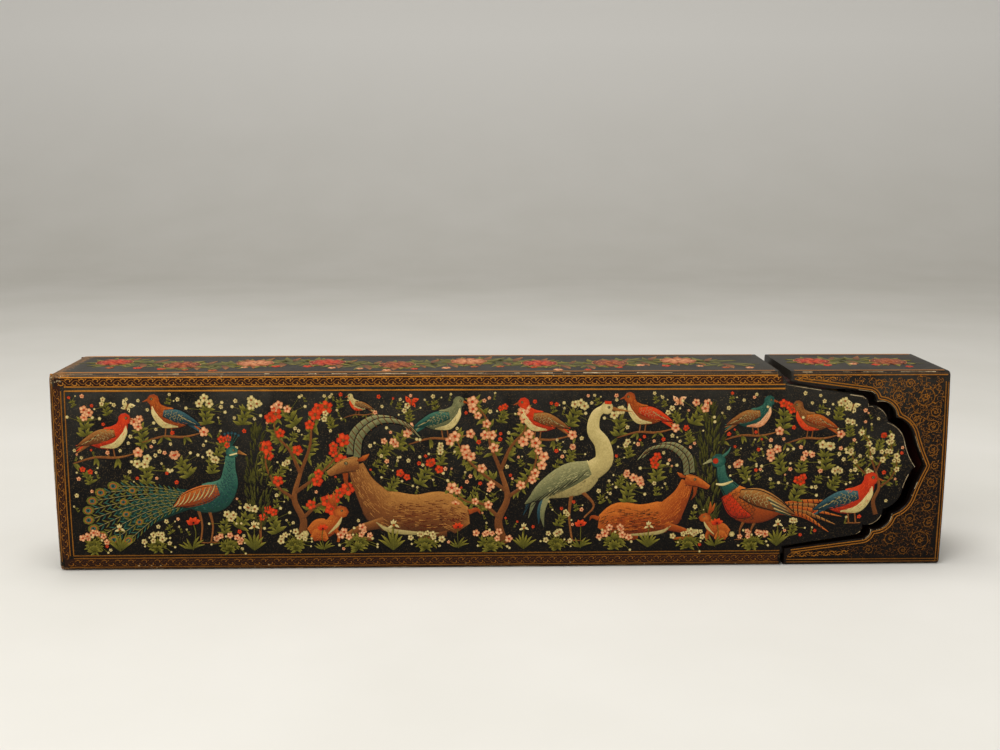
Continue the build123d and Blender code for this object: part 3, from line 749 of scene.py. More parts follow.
def ibex(where, coat, hairs):
    """A mountain goat at rest with its legs folded, facing right."""
    form(where, coat, [(-10, 2.4), (-3, 1.6), (-7, 0.8)], [2.2, 1.7, 1.0], 0.06, (0.3, 0.4))
    form(where, coat, [(-14.4, 6), (-9, 7.8), (-2, 7.6), (5, 8.4), (9.4, 11)], [7, 11.6, 10.6, 11.4, 8],
         0.09, (0.5, 0.5), 0.38)
    line(where, "lead_white", [(-8, 2.4), (-1, 2.5), (5, 3.4), (8, 5.4)], [0.2, 1.2, 1.4, 0.3], 0.13,
         (0.3, 0.4))
    form(where, coat, [(-14, 3.6), (-11.6, 6.8), (-8.4, 8.6)], [5, 8.4, 3.5], 0.13, (0.45, 0.55), 0.35)
    form(where, coat, [(6, 5.4), (12.4, 3.6), (15, 1.6), (9, 0.9)], [3.4, 2.2, 1.7, 1.0], 0.13, (0.4, 0.5))
    form(where, coat, [(7.4, 10), (11, 15.4), (13, 20.4)], [9.4, 6, 4.4], 0.13, (0.5, 0.55), 0.35)
    near_horn = np.array([(12.6, 22.6), (11.6, 28), (6.8, 31.8), (0.6, 31.2), (-3.4, 27.6)])
    for horn, lift in ((near_horn + (1.6, 0.64), 0.1), (near_horn, 0.2)):
        form(where, "terre_verte", horn, [2.4, 2.3, 1.8, 1.2, 0.3], lift, (0.45, 0.6))
        for place in curve(horn, 4)[1:15]:
            line(where, "umber", [place + (-0.7, -0.9), place + (0.6, 0.8)], 0.3, lift + 0.04, (0.2, 0.3))
    form(where, coat, [(12.2, 20.8), (16, 20.2), (20, 18.2)], [4.6, 3.8, 2.0], 0.17, (0.55, 0.6))
    leaf(where, (12.6, 21.6), 3.6, 150, 0.4, "rust_ochre", 0.2)
    line(where, "rust_ochre", [(15.6, 18.4), (15.4, 16), (14.2, 14)], [1.6, 1.0, 0.1], 0.16, (0.4, 0.2))
    line(where, "rust_ochre", [(-15.6, 8), (-17.8, 8.6), (-18.6, 7.4)], [1.6, 1.1, 0.2], 0.1, (0.5, 0.3))
    hatch(where, coat, [(-14, 6.4), (-9, 8), (-2, 8), (5, 8.8), (10, 14), (13, 20)],
          [6, 11, 10, 11, 6.6, 4.2], 260, 1.5, 0.17, (0.75, 0.9))
    hatch(where, hairs, [(-14, 5.6), (-9, 7.4), (-2, 7), (5, 8)], [6, 10, 9, 10], 110, 1.6, 0.18,
          (0.05, 0.2))
    line(where, "bone_black", [(19.4, 17.6), (20.4, 17.9)], 0.4, 0.21)
    eye(where, (15.4, 21.0), 0.55)


def hare(where):
    """A hare sitting up, facing right."""
    trunk = [(-4, 2.6), (-1.4, 4.0), (1.6, 5.2), (3, 8)]
    form(where, "rust_ochre", trunk, [4.4, 6.6, 4.8, 3.0], 0.1, (0.45, 0.6))
    form(where, "rust_ochre", [(-3.6, 1.4), (-1.6, 2.6), (0.4, 1.0)], [2.2, 4.2, 1.4], 0.14, (0.5, 0.6))
    line(where, "rust_ochre", [(2.4, 4.6), (3.6, 2.2), (3.4, 0.4)], [1.5, 1.0, 0.8], 0.14, (0.5, 0.6))
    touch(where, "rust_ochre", (4.2, 9), 1.9, 0.16, (0.5, 0.75), 8, 1.25)
    for angle in (118, 98):
        leaf(where, (3.2, 10), 5.0, angle, 0.26, "rust_ochre", 0.18)
    line(where, "lead_white", [(0.8, 2.8), (3.4, 5.4), (4.6, 7.6)], [0.3, 1.1, 0.3], 0.17)
    touch(where, "lead_white", (-5.6, 2.8), 1.1, 0.12)
    hatch(where, "rust_ochre", trunk, [4.2, 6.4, 4.6, 2.8], 50, 0.9, 0.16, (0.85, 0.95))
    eye(where, (4.6, 9.4), 0.4)


def butterfly(where, paint):
    """A butterfly with its wings spread."""
    for angle, length in ((38, 3.0), (142, 3.0), (-38, 2.1), (218, 2.1)):
        leaf(where, (0, 0), length, angle, 0.62, paint, 0.08, (0.4, 0.85))
        touch(where, "bone_black", heading(angle) * length * 0.62, 0.28, 0.12)
    line(where, "umber", [(0, -1.2), (0, 1.3)], [0.3, 0.5], 0.14)


def pigment(name):
    """Gum paint under oil varnish: brushed, so its shade runs with the stroke and is never
    even. Shell gold is real metal, which glints through the varnish."""
    dark, middle, light = PAINTS[name]
    material, tree, shader, mm = surface(name + "_in_gum")
    grain = add(tree, "TexNoise", {"Vector": mm, "Scale": 2.2, "Detail": 4.0, "Roughness": 0.65})
    tone = add(tree, "Attribute", attribute_name="shade")
    uneven_tone = add(tree, "MapRange", {"Value": grain, 1: 0.25, 2: 0.75, 3: -0.14, 4: 0.14})
    mixed = add(tree, "Math", {0: tone.outputs["Fac"], 1: uneven_tone}, operation="ADD")
    colour = ramp(tree, mixed, (0.05, dark), (0.5, middle), (0.95, light))
    metal, rough = (0.6, 0.42) if name == "shell_gold" else (0.0, 0.5)
    feed(tree, shader, {"Base Color": colour, "Metallic": metal, "Roughness": rough,
                        "Specular IOR Level": 0.08, **varnish()})
    return material


def finish_painting():
    """Makes the pieces: one of each paint on each body, and one of each on the case's back."""
    materials = {}
    for (place, paint), (points, faces, shades, _) in painted.items():
        name = f"{place}_{paint}"
        mesh = bpy.data.meshes.new(name)
        mesh.from_pydata(np.vstack(points).tolist(), [], faces)
        tone = mesh.attributes.new("shade", "FLOAT", "POINT")
        tone.data.foreach_set("value", np.concatenate(shades).astype(np.float32))
        mesh.shade_flat()
        if paint not in materials:
            materials[paint] = pigment(paint)
        piece = new_piece(name, mesh, materials[paint])
        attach(piece, place.split("_")[0])


CASE_FRONT, CASE_BACK = (FRONT, "case"), (BACK, "case_back")
CASE_TOP, CASE_UNDER = (TOP, "case"), (UNDER, "case")
CASE_END = (CLOSED_END, "case")


def straight(start, end, spacing):
    """A straight path with points about this far apart."""
    start, end = np.asarray(start, float), np.asarray(end, float)
    count = max(3, int(np.linalg.norm(end - start) / spacing))
    return start + (end - start) * np.linspace(0, 1, count)[:, None]


def ruling(ground, start, end, width=0.44, tone=0.5):
    """A straight gold line, ruled with a pen, so it wavers a little in width."""
    path = straight(start, end, 3)
    widths = [width * shift.uniform(0.75, 1.15) for _ in path]
    stroke(ground, "shell_gold", path, widths, 0.06, (tone, tone), smooth=False)


def vine(ground, start, end, height, pitch=4.2, tone=0.5):
    """The running scroll of a border: a wave of gold with a curl and two leaves in each
    hollow of it."""
    start, end = np.asarray(start, float), np.asarray(end, float)
    reach = np.linalg.norm(end - start)
    along = (end - start) / reach
    side = np.array([-along[1], along[0]])
    turns = max(1, round(reach / pitch))
    pitch = reach / turns

    def at(s, h):
        return start + along * s + side * h

    count = turns * 8
    wave = [at(reach * k / count, 0.3 * height * math.sin(k * math.pi / 4)) for k in range(count + 1)]
    stroke(ground, "shell_gold", wave, 0.2, 0.07, (tone - 0.1, tone), smooth=False)
    for k in range(2 * turns):
        s, up = (k + 0.5) * pitch / 2, 1 if k % 2 else -1
        curl = [at(s - 0.34 * pitch, 0.1 * up * height), at(s - 0.14 * pitch, 0.44 * up * height),
                at(s + 0.08 * pitch, 0.3 * up * height), at(s + 0.04 * pitch, 0.05 * up * height)]
        stroke(ground, "shell_gold", curl, [0.1, 0.36, 0.26, 0.4], 0.07, (tone, tone + 0.25), steps=3)
        for along_by, up_by, turn in ((0.2, 0.36, 0.7), (-0.26, 0.34, 2.3)):
            dot(ground, "shell_gold", at(s + along_by * pitch, up_by * up * height), 0.2, 0.07,
                (tone - 0.1, tone + 0.25), 5, 2.1, turn * up)


def band(ground, start, end, width):
    """A strip of red-brown bole, laid for the gilding of a border."""
    stroke(ground, "red_bole", straight(start, end, 2), width, 0.03, (0.4, 0.6), smooth=False,
           rows=FULL, relief=0.0)


def case_border(ground):
    """Rulings and scroll bands along the top, the left end and the bottom of a broad face
    of the shell. The gold below and down the end is painted darker, as painted shade where
    the light falls away from the top."""
    band(ground, (2.0, 60.75), (228.6, 60.75), 2.9)
    band(ground, (2.0, 2.6), (229.2, 2.6), 2.9)
    band(ground, (2.55, 4.0), (2.55, 59.4), 2.7)
    for z, width in ((63.0, 0.42), (62.2, 0.5), (59.3, 0.5), (58.0, 0.55)):
        ruling(ground, (0.4 if z > 60 else 5.0, z), (227.0 if z > 62 else 229.4, z), width)
    # Painted shade: the lower rulings and scroll, and those down the end, are given darker gold.
    for z in (0.5, 1.15, 4.1, 5.0):
        ruling(ground, (0.6 if z < 3 else 5.0, z), (229.6, z), tone=0.24)
    for x in (0.5, 1.2, 3.9, 5.0):
        ruling(ground, (x, 0.6 if x < 2 else 5.0), (x, 63.0 if x < 2 else 58.0), tone=0.32)
    vine(ground, (3.4, 60.75), (228.0, 60.75), 2.3, tone=0.45)
    vine(ground, (3.4, 2.6), (229.0, 2.6), 2.1, tone=0.16)
    vine(ground, (2.55, 4.2), (2.55, 58.6), 1.9, tone=0.2)


FIELD_LOW, FIELD_HIGH = 5.8, 57.4
BORDER_END = MOUTH - 2
TRIES_A_SIZE = 420


def tongue_rise(x):
    """Half the tongue's height at a place along it."""
    return np.interp(x, *zip(*TONGUE))


def room(x, z, margin):
    """Whether a place on the shell's broad face is clear of its borders and edges."""
    if x < BORDER_END:
        return x > FIELD_LOW + margin and FIELD_LOW + margin < z < FIELD_HIGH - margin
    tip = TONGUE[-1][0]
    ahead = tongue_rise(min(x + margin, tip))
    return abs(z - TONGUE_MIDDLE) < ahead - 0.9 - margin and x < tip - 1.5 - margin


def fill_between(ground, sizes):
    """Sprigs and single blossoms in what is left bare, the largest that fit first."""
    for size in sizes:
        for _ in range(TRIES_A_SIZE):
            x, z, radius = shift.uniform(6, 270), shift.uniform(6, 57), size / 2
            if not room(x, z, radius) or clearance(ground, x, z) < radius * 0.62:
                continue
            bloom = shift.choice(("rose_lake", "lead_white", "lead_white", "red_lead"))
            if size < 2.4:
                blossom(spot(ground, x, z), (0, 0), radius * 0.8, bloom)
                continue
            where = spot(ground, x, z - radius * 0.9, turn=shift.uniform(-35, 35))
            sprig(where, size, bloom, blooms=1 + (size > 5) + (size > 7), tiers=2 + (size > 5))


# The picture on the front of the shell: a garden by night, with beasts and birds among
# blossom trees, poppies and irises, a common subject on such boxes, laid out afresh here.
case_border(CASE_FRONT)
PAIRED_BOUGHS = [
    [(1.4, 8), (6, 12), (11, 13), (15, 17)],
    [(-1, 14), (-6, 18), (-9, 24), (-9, 30)],
    [(-0.6, 16), (6, 21), (11, 26), (14, 32)],
    [(1, 22), (-2, 29), (-6, 34), (-6, 40)],
    [(1, 22), (4, 30), (5, 37), (9, 42)],
]
TRUNK = [(0, 0), (1.6, 7), (-1, 14), (1, 22)]
G = CASE_FRONT
tree(spot(G, 76, 8.6, 1.05), TRUNK, PAIRED_BOUGHS, 2.9, "red_lead", 1.9, 0.5)
tree(spot(G, 141, 8, 1.1, flip=-1), TRUNK, PAIRED_BOUGHS, 3.0, "rose_lake", 1.5, 0.6)
cypress(spot(G, 64.0, 9), 40, 7.5)
cypress(spot(G, 206.5, 9), 46, 9.0)
tree(spot(G, 260.0, 17.0, 0.64, flip=-1), TRUNK, PAIRED_BOUGHS[1:], 2.6, "lead_white", 1.5, 0.8)
peacock(spot(G, 47.0, 8.8, 0.98))
crane(spot(G, 162.5, 8.6, 1.1), [(4.5, 20.4), (9, 24), (8.6, 29), (6, 33), (6.6, 37.4), (9, 39.6)], -8)
ibex(spot(G, 110.5, 8.8, 1.24, flip=-1), "umber", "rust_ochre")
ibex(spot(G, 186.5, 8.4, 0.98), "rust_ochre", "umber")
pheasant(spot(G, 220.5, 8.6, 1.22, flip=-1))
bird(spot(G, 250.5, 14.0, 1.4), "red_lead", "indigo", "lead_white", droop=2.0)
for x, z, size, flip, colours in (
        (17, 37, 1.15, 1, ("red_lead", "umber", "lead_white")),
        (38, 43.5, 1.1, -1, ("rust_ochre", "indigo", "lead_white")),
        (96, 50.2, 0.55, -1, ("lead_white", "umber", "red_lead")),
        (121, 42.5, 1.1, 1, ("terre_verte", "verdigris", "lead_white")),
        (153, 42.0, 1.1, -1, ("red_lead", "umber", "lead_white")),
        (186, 44.2, 1.05, -1, ("rust_ochre", "red_lead", "lead_white")),
        (219, 43, 1.05, 1, ("verdigris", "umber", "rose_lake")),
        (239, 42.0, 1.0, -1, ("umber", "rust_ochre", "red_lead"))):
    bird(spot(G, x, z, size, flip=flip), *colours)
    perch = spot(G, x, z, size)
    branch = [(-9, -1.6), (-3, 0.1), (3, 0.0), (9, 1.4)]
    line(perch, "umber", branch, [0.3, 0.7, 0.7, 0.2], 0.06)
    for k in range(7):
        leaf(perch, branch[k % 4], shift.uniform(2.2, 3.2), shift.uniform(200, 340), 0.36)
    blossom(perch, (8.6, 1.4), 1.5)
hare(spot(G, 84.5, 8.6, 1.15))
hare(spot(G, 209.0, 8.2, 0.9, flip=-1))
for x, z, paint in (
        (24, 53, "lead_white"), (112, 54, "red_lead"), (196, 54, "rose_lake"), (251, 52, "lead_white")):
    butterfly(spot(G, x, z, 0.9, turn=shift.uniform(-30, 30)), paint)
LOW_PLANTS = ((clump, 8.4, "rose_lake"), (flag, 9.6, "lead_white"), (clump, 7.6, "lead_white"),
              (poppy, 9.6, "red_lead"))
for k, x in enumerate(np.arange(11.0, 232.0, 10.4)):
    x, size = x + shift.uniform(-1.6, 1.6), shift.uniform(0.85, 1.1)
    plant, height, paint = LOW_PLANTS[k % len(LOW_PLANTS)]
    plant(spot(G, x, 6.2 + shift.uniform(0, 0.8), size, lift=0.24), height, paint)
fill_between(G, (9.5, 7.5, 6.0, 4.8, 3.6, 2.6, 1.9, 1.5))

# The back of the shell, which lies underneath in use: no picture, but a gold scroll with
# roses and small leaves inside the same border.
case_border(CASE_BACK)


def whorl(ground, at, radius, first, spin=1, turns=1.35, width=0.3, leaves=7, tone=0.5):
    """A spiral of scrollwork that winds in to a rosette, with leaflets along its outside."""
    share = np.linspace(0, 1, 26)
    angle = math.radians(first) + spin * math.tau * turns * share
    reach = radius * (1 - 0.78 * share)
    path = np.asarray(at, float) + np.stack([np.cos(angle), np.sin(angle)], 1) * reach[:, None]
    stroke(ground, "shell_gold", path, np.linspace(width, 0.6 * width, 26), 0.06, (tone, tone + 0.1),
           smooth=False)
    where = spot(ground, *at)
    for k in range(leaves):
        place = path[int((k + 0.5) / leaves * 20)] - at
        out = math.degrees(math.atan2(place[1], place[0]))
        leaf(where, place, max(0.5, 0.3 * radius), out + spin * 50, 0.4, "shell_gold", 0.07,
             (tone - 0.1, tone + 0.15))
    for k in range(5):
        touch(where, "shell_gold", heading(72 * k) * 0.14 * radius, 0.09 * radius, 0.08,
              (tone, tone + 0.2), 5)


def scroll(ground, start, end, middle, rise, pitch, blooms):
    """A long wave of gold scrollwork with a whorl in each hollow and a flower in its heart."""
    count = max(2, round((end - start) / pitch))
    pitch = (end - start) / count
    x = np.linspace(start, end, 16 * count)
    wave = middle + 0.45 * rise * np.sin((x - start) / pitch * math.pi)
    stroke(ground, "shell_gold", np.stack([x, wave], 1), 0.45, 0.05, (0.45, 0.5), smooth=False)
    for k in range(count):
        side = 1 if k % 2 == 0 else -1
        at = (start + (k + 0.5) * pitch, middle - side * 0.12 * rise)
        whorl(ground, at, 0.56 * rise, 90 * side, side, 1.3, 0.4, 10)
        where = spot(ground, *at)
        paint = blooms[k % len(blooms)]
        for angle in range(0, 360, 72):
            leaf(where, heading(angle) * 0.1 * rise, 0.16 * rise, angle, 0.4)
        rose(where, (0, 0), 0.13 * rise, paint)
        for angle in (35, 145, 215, 325):
            tip = heading(angle) * 0.86 * rise * (0.62, 1.0)
            leaf(where, tip * 0.8, 0.2 * rise, angle, 0.36, "shell_gold", 0.06)
            blossom(where, tip, 0.045 * rise, "rose_lake")


def tendrils(ground, low, high, clear, tones, tries=1800, sizes=(1.2, 0.9, 0.65, 0.48)):
    """Small curls with a leaf each, in what the larger scrollwork leaves bare. tones are
    those of the gold at the bottom and at the top: the gold is painted lighter toward the top,
    as painted light from above."""
    for radius in sizes:
        for _ in range(tries):
            x, z = shift.uniform(low[0], high[0]), shift.uniform(low[1], high[1])
            if not clear(x, z, radius * 0.7) or clearance(ground, x, z) < radius * 0.42:
                continue
            tone = tones[0] + (tones[1] - tones[0]) * z / HEIGHT
            turn, spin = shift.uniform(0, 360), shift.choice((-1, 1))
            curl = [np.array([x, z]) + heading(turn + spin * more) * radius * reach
                    for more, reach in ((0, 1), (80, 0.95), (160, 0.75), (250, 0.4))]
            stroke(ground, "shell_gold", curl, [0.1, 0.24, 0.22, 0.32], 0.05, (tone, tone + 0.18), 3,
                   rows=HAIR)
            leaf(spot(ground, x, z), heading(turn + spin * 80) * radius, 0.75 * radius,
                 turn + spin * 40, 0.5, "shell_gold", 0.06, (tone, tone + 0.25))


scroll(CASE_BACK, 8.0, 226.0, 31.5, 34.0, 27.0, ("red_lead", "rose_lake"))
scroll(CASE_BACK, 233.0, 264.0, 32.9, 18.0, 15.0, ("rose_lake", "red_lead"))
tendrils(CASE_BACK, (6, 6), (270, 58), room, (0.2, 0.25), 2600, (2.2, 1.6, 1.1))


# The narrow sides of the shell, painted on the same black ground with a garland of roses
# that winds from end to end between pairs of gold lines.
def sway(x):
    """How far a garland's stem winds from the middle of its side."""
    return 3.4 * np.sin(x / 9.5)


def garland(ground, start, end, roses):
    """Roses, buds and long leaves on a winding stem, between gold rulings, as the narrow
    sides have them."""
    half = 16.4
    for across in (-half, -half + 0.9, half - 0.9, half):
        ruling(ground, (start, across), (end, across))
    x = np.arange(start + 1.0, end - 0.9, 1.5)
    stem = np.stack([x, sway(x)], 1)
    stroke(ground, "olive_green", stem, 0.55, 0.05, (0.4, 0.4), smooth=False)
    for k, at in enumerate(stem[2:-1:3]):
        side = 1 if k % 2 else -1
        where = spot(ground, *at)
        for lean in (20, 46, 74, 106, 140):
            if start + 11 < at[0] < end - 11:
                leaf(where, (0, 0), shift.uniform(7.0, 11.0), side * (lean + shift.uniform(-8, 8)),
                     0.28, "umber" if lean == 74 else "olive_green", 0.06 + 0.01 * (lean % 3), (0.15, 0.7))
        if start + 4 < at[0] < end - 4 and k % 2 == 0:
            tip = (shift.uniform(-2, 2), side * shift.uniform(7.0, 10.5))
            line(where, "olive_green", [(0, 0), (0.6, tip[1] / 2), tip], 0.3)
            blossom(where, tip, shift.uniform(1.2, 1.7),
                    shift.choice(("rose_lake", "rust_ochre", "red_lead")))
    for k, place in enumerate(roses):
        where = spot(ground, place, sway(place), lift=0.1)
        for angle in range(10, 370, 45):
            leaf(where, heading(angle) * 2.5, 6.4, angle + shift.uniform(-10, 10), 0.34)
        rose(where, (0, 0), 6.4, ("red_lead", "rust_ochre", "rose_lake")[k % 3])


for side in (CASE_TOP, CASE_UNDER):
    garland(side, 1.6, 226.4, np.arange(15.0, 222.0, 23.0))


# The closed end of the shell: the same ground and the same roses, on one upright stem.
def spray(ground, half):
    """An upright spray of roses inside a ruled frame. half is half the frame's width."""
    for inset in (0, 0.9):
        corners = [(-half + inset, 3.2 + inset), (half - inset, 3.2 + inset),
                   (half - inset, HEIGHT - 3.2 - inset), (-half + inset, HEIGHT - 3.2 - inset)]
        for k in range(4):
            ruling(ground, corners[k], corners[(k + 1) % 4])
    where = spot(ground, 0, 8)
    line(where, "olive_green", [(0, 0), (1.6, 14), (-1.2, 30), (0.8, 46)], [0.9, 0.7, 0.6, 0.3])
    for z in range(3, 44, 4):
        for side in (-1, 1):
            leaf(where, (0, z), shift.uniform(6, 9), 90 - side * shift.uniform(30, 70), 0.3)
            tip = (side * shift.uniform(7.5, 10.5), z + shift.uniform(1, 5))
            line(where, "olive_green", [(0, z), (tip[0] / 2, z + 2.4), tip], 0.3)
            blossom(where, tip, shift.uniform(1.1, 1.6), shift.choice(("rose_lake", "lead_white")))
    for x, z, radius, paint in (
            (0.6, 12, 5.2, "red_lead"), (-0.8, 27, 5.6, "rose_lake"), (0.6, 42, 4.6, "red_lead")):
        rose(spot(ground, x, 8 + z, lift=0.12), (0, 0), radius, paint)


spray(CASE_END, 13.6)

# The head, the drawer's outer end. It was cut off the shell with a fine saw, so its grain,
# thickness and curves run on from it. Fine gold scrollwork fills it round the window, which
# two gold lines follow.
brown_lacquer = black_lacquer("brown_black_oil_ground", ("#080403", "#110906", "#1c100a"), 0.25)
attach(handmade("drawer_head", "lacquered_head", brown_lacquer), "drawer")
HEAD_FRONT, HEAD_BACK = (FRONT, "drawer"), (BACK, "drawer")
HEAD_TOP, HEAD_UNDER = (TOP, "drawer"), (UNDER, "drawer")
DRAWER_END = (HEAD_END, "drawer")
WINDOW_SIDE_GAP, WINDOW_SPREAD = (0.7, 0.8), 1.7
HEAD_LINES_FROM = 231.9


def arc(a, b, c, steps=14):
    """Points on the circle through three points, from the first to the last."""
    (ax, ay), (bx, by), (cx, cy) = a, b, c
    d = 2 * (ax * (by - cy) + bx * (cy - ay) + cx * (ay - by))
    ux = ((ax ** 2 + ay ** 2) * (by - cy) + (bx ** 2 + by ** 2) * (cy - ay)
          + (cx ** 2 + cy ** 2) * (ay - by)) / d
    uy = ((ax ** 2 + ay ** 2) * (cx - bx) + (bx ** 2 + by ** 2) * (ax - cx)
          + (cx ** 2 + cy ** 2) * (bx - ax)) / d
    first, through, last = (math.atan2(y - uy, x - ux) for x, y in (a, b, c))
    sweep = (last - first) % math.tau
    if (through - first) % math.tau > sweep:
        sweep -= math.tau
    angle = first + sweep * np.linspace(0, 1, steps)
    return np.stack([ux + np.cos(angle) * math.hypot(ax - ux, ay - uy),
                     uy + np.sin(angle) * math.hypot(ax - ux, ay - uy)], 1)


def cusped(key):
    """A cut's edge through its key points: the arcs meet at every second one."""
    return np.vstack([arc(*key[k:k + 3])[k > 0:] for k in range(0, len(key) - 2, 2)])


def window_edge():
    """The upper half of the window's edge, from the mouth to its tip, as it was cut."""
    key = []
    for x, rise in TONGUE:
        share = (x - MOUTH) / (TONGUE[-1][0] - MOUTH)
        gap = WINDOW_SIDE_GAP[0] + WINDOW_SIDE_GAP[1] * share
        key.append((x + SEAM + WINDOW_SPREAD * share, rise + gap if rise else 0.0))
    return cusped(key)


def around_window(out):
    """A line that stands off the window's edge, from mouth to mouth round the tip."""
    half = window_edge()
    whole = np.vstack([half, half[-2::-1] * (1, -1)])
    moved = whole + directions(whole)[1] * out
    clear = [np.linalg.norm(whole - place, axis=1).min() > 0.93 * out for place in moved]
    moved = moved[np.array(clear)]
    return moved[moved[:, 0] > HEAD_LINES_FROM] + (0, TONGUE_MIDDLE)


WINDOW_LINE = around_window(1.9)


def beside_window(x, z, margin):
    """Whether a place on the head is clear of the window's lines and the rulings."""
    if x > 280.0 - margin or not 2.9 + margin < z < 61.7 - margin or x < 232.4 + margin:
        return False
    near = np.linalg.norm(WINDOW_LINE - (x, z), axis=1)
    upper = WINDOW_LINE[:len(WINDOW_LINE) // 2]
    inside = abs(z - TONGUE_MIDDLE) < np.interp(x, upper[:, 0], upper[:, 1] - TONGUE_MIDDLE)
    return near.min() > margin and not (inside and x < WINDOW_LINE[:, 0].max())


def head_face(ground):
    """Rulings, window lines and scrollwork on a broad face of the head."""
    for out in (0.7, 1.5):
        stroke(ground, "shell_gold", around_window(out), 0.42, 0.05, (0.38, 0.38), smooth=False)
    # The lower rulings are given darker gold, as painted shade toward the bottom; the rulings toward the
    # end are duller.
    for z in (1.1, 1.95, 62.25, 63.0):
        ruling(ground, (232.0, z), (256.0, z), tone=0.42 if z > 3 else 0.26)
        ruling(ground, (256.0, z), (281.0, z), tone=0.3 if z > 3 else 0.2)
    for x in (280.5, 281.35):
        ruling(ground, (x, 1.1), (x, 63.0), tone=0.3)
    # The whorls are given lighter gold the higher they stand, as painted light from above, and so are the
    # tendrils below.
    for x, z, radius, first, spin in (
            (274.4, 55.6, 3.5, 200, 1), (265.6, 55.6, 2.4, -20, -1), (275.0, 8.0, 3.5, 160, -1),
            (265.4, 8.6, 2.4, 20, 1), (271.4, 47.8, 2.4, 60, 1), (277.0, 45.6, 2.2, 120, -1),
            (277.2, 38.2, 2.1, 240, 1), (277.4, 27.6, 2.1, 100, -1), (276.8, 20.0, 2.2, 200, 1),
            (271.4, 15.6, 2.2, -60, -1), (259.0, 59.6, 1.7, 180, 1), (258.6, 5.0, 1.7, 180, -1),
            (269.0, 59.4, 1.6, 0, 1), (269.6, 5.0, 1.6, 0, -1), (278.2, 33.0, 1.4, 90, 1),
            (277.4, 14.0, 1.9, 60, 1), (277.4, 50.4, 1.8, 30, -1)):
        whorl(ground, (x, z), radius, first, spin, 1.5, 0.28, 9, 0.16 + 0.2 * z / HEIGHT)
    vine(ground, (232.6, 61.4), (246.0, 60.9), 1.3, tone=0.4)
    vine(ground, (232.6, 3.5), (252.0, 4.2), 1.5, tone=0.35)
    tendrils(ground, (233, 3), (280, 61.6), beside_window, (-0.02, 0.22))


head_face(HEAD_FRONT)
head_face(HEAD_BACK)
for side in (HEAD_TOP, HEAD_UNDER):
    garland(side, 232.6, 280.4, (243.0, 268.0))
spray(DRAWER_END, 15.2)


# The wear on both parts, and painted highlights. Along the cuts and the long edges, where
# hands and the other part rub, the paint has gone down to the pale gesso, in broken lines and
# small flakes. The same pale strokes and flakes also stand for painted highlights and glints
# along the tongue's upper edge, the long top edges, the window's lower lip and the top of the
# closed end.
def worn_and_highlit(ground, path, share, width=0.26):
    """Short broken pale strokes along an edge: paint worn down to the gesso, and where the
    edge catches the light, a painted highlight.
    """
    path, k = np.asarray(path, float), 0
    while k < len(path) - 3:
        run = shift.randint(2, 7)
        if shift.random() < share:
            piece = path[k:k + run + 1]
            stroke(ground, "bare_gesso", piece, [width * shift.uniform(0.3, 1.2) for _ in piece], 0.09,
                   (shift.uniform(0.1, 0.6), shift.uniform(0.1, 0.8)), smooth=False)
        k += run


def chips(ground, places):
    """Small pale flakes gone from the paint, down to the gesso; some also stand for painted glints."""
    for x, z, size in places:
        rim = [(x + size * shift.uniform(0.5, 1.3) * math.cos(k * math.tau / 7),
                z + size * shift.uniform(0.4, 0.9) * math.sin(k * math.tau / 7)) for k in range(7)]
        patch(ground, "bare_gesso", rim, 0.08, (0.25, 0.6))


TONGUE_EDGE = cusped(TONGUE)
LOWER_LIP_FROM = 60
# The front tongue's upper edge gets the most pale strokes: a painted highlight where it catches the light.
for ground, side, share in ((CASE_FRONT, 1, 0.85), (CASE_FRONT, -1, 0.35), (CASE_BACK, 1, 0.4),
                            (CASE_BACK, -1, 0.4)):
    worn_and_highlit(ground, TONGUE_EDGE * (1, side) + (-0.25, TONGUE_MIDDLE - 0.28 * side), share)
for ground in (CASE_FRONT, CASE_BACK):
    # Pale strokes along the long edges: worn paint, and along the top edge a painted highlight too.
    for z in (0.3, HEIGHT - 0.28):
        worn_and_highlit(ground, [(x, z) for x in np.arange(1.0, 227.0, 0.8)], 0.3, 0.22)
    worn_and_highlit(ground, [(0.6, z) for z in np.arange(2.0, 61.0, 0.8)], 0.4, 0.3)
    # Flakes round the top of the closed end: wear and a painted glint.
    chips(ground, [(shift.uniform(0.8, 4.5), HEIGHT - shift.uniform(0.6, 3.0), shift.uniform(0.2, 0.5))
                   for _ in range(12)])
    chips(ground, [(shift.uniform(3, 228), shift.choice((0.8, 1.6, 62.4)), shift.uniform(0.15, 0.4))
                   for _ in range(26)])
for ground in (HEAD_FRONT, HEAD_BACK):
    # The window's lower edge gets more pale strokes than its upper one, and flakes on its lower lip:
    # painted glints on its lit cut face, with wear.
    for side, share in ((1, 0.3), (-1, 0.5)):
        worn_and_highlit(ground, window_edge() * (1, side) + (0.25, TONGUE_MIDDLE + 0.2 * side), share, 0.22)
    for z in (0.3, HEIGHT - 0.28):
        worn_and_highlit(ground, [(x, z) for x in np.arange(232.5, 281.0, 0.8)], 0.35, 0.22)
    lower_lip = list(around_window(0.35)[LOWER_LIP_FROM:])
    chips(ground, [(*shift.choice(lower_lip), shift.uniform(0.15, 0.3)) for _ in range(9)])

# The tray, of the same pasted paper as the shell but painted dark red inside and out, and
# polished where it slides. Ink has dried in it round the inkwell. Gold vines run along the
# two sides that show when it is drawn out.
TRAY_TOP, TRAY_UNDER = 60.45, 2.95
INKWELL_AT = ((237.5 - LENGTH / 2) * MM, 0.0, 31.7 * MM)


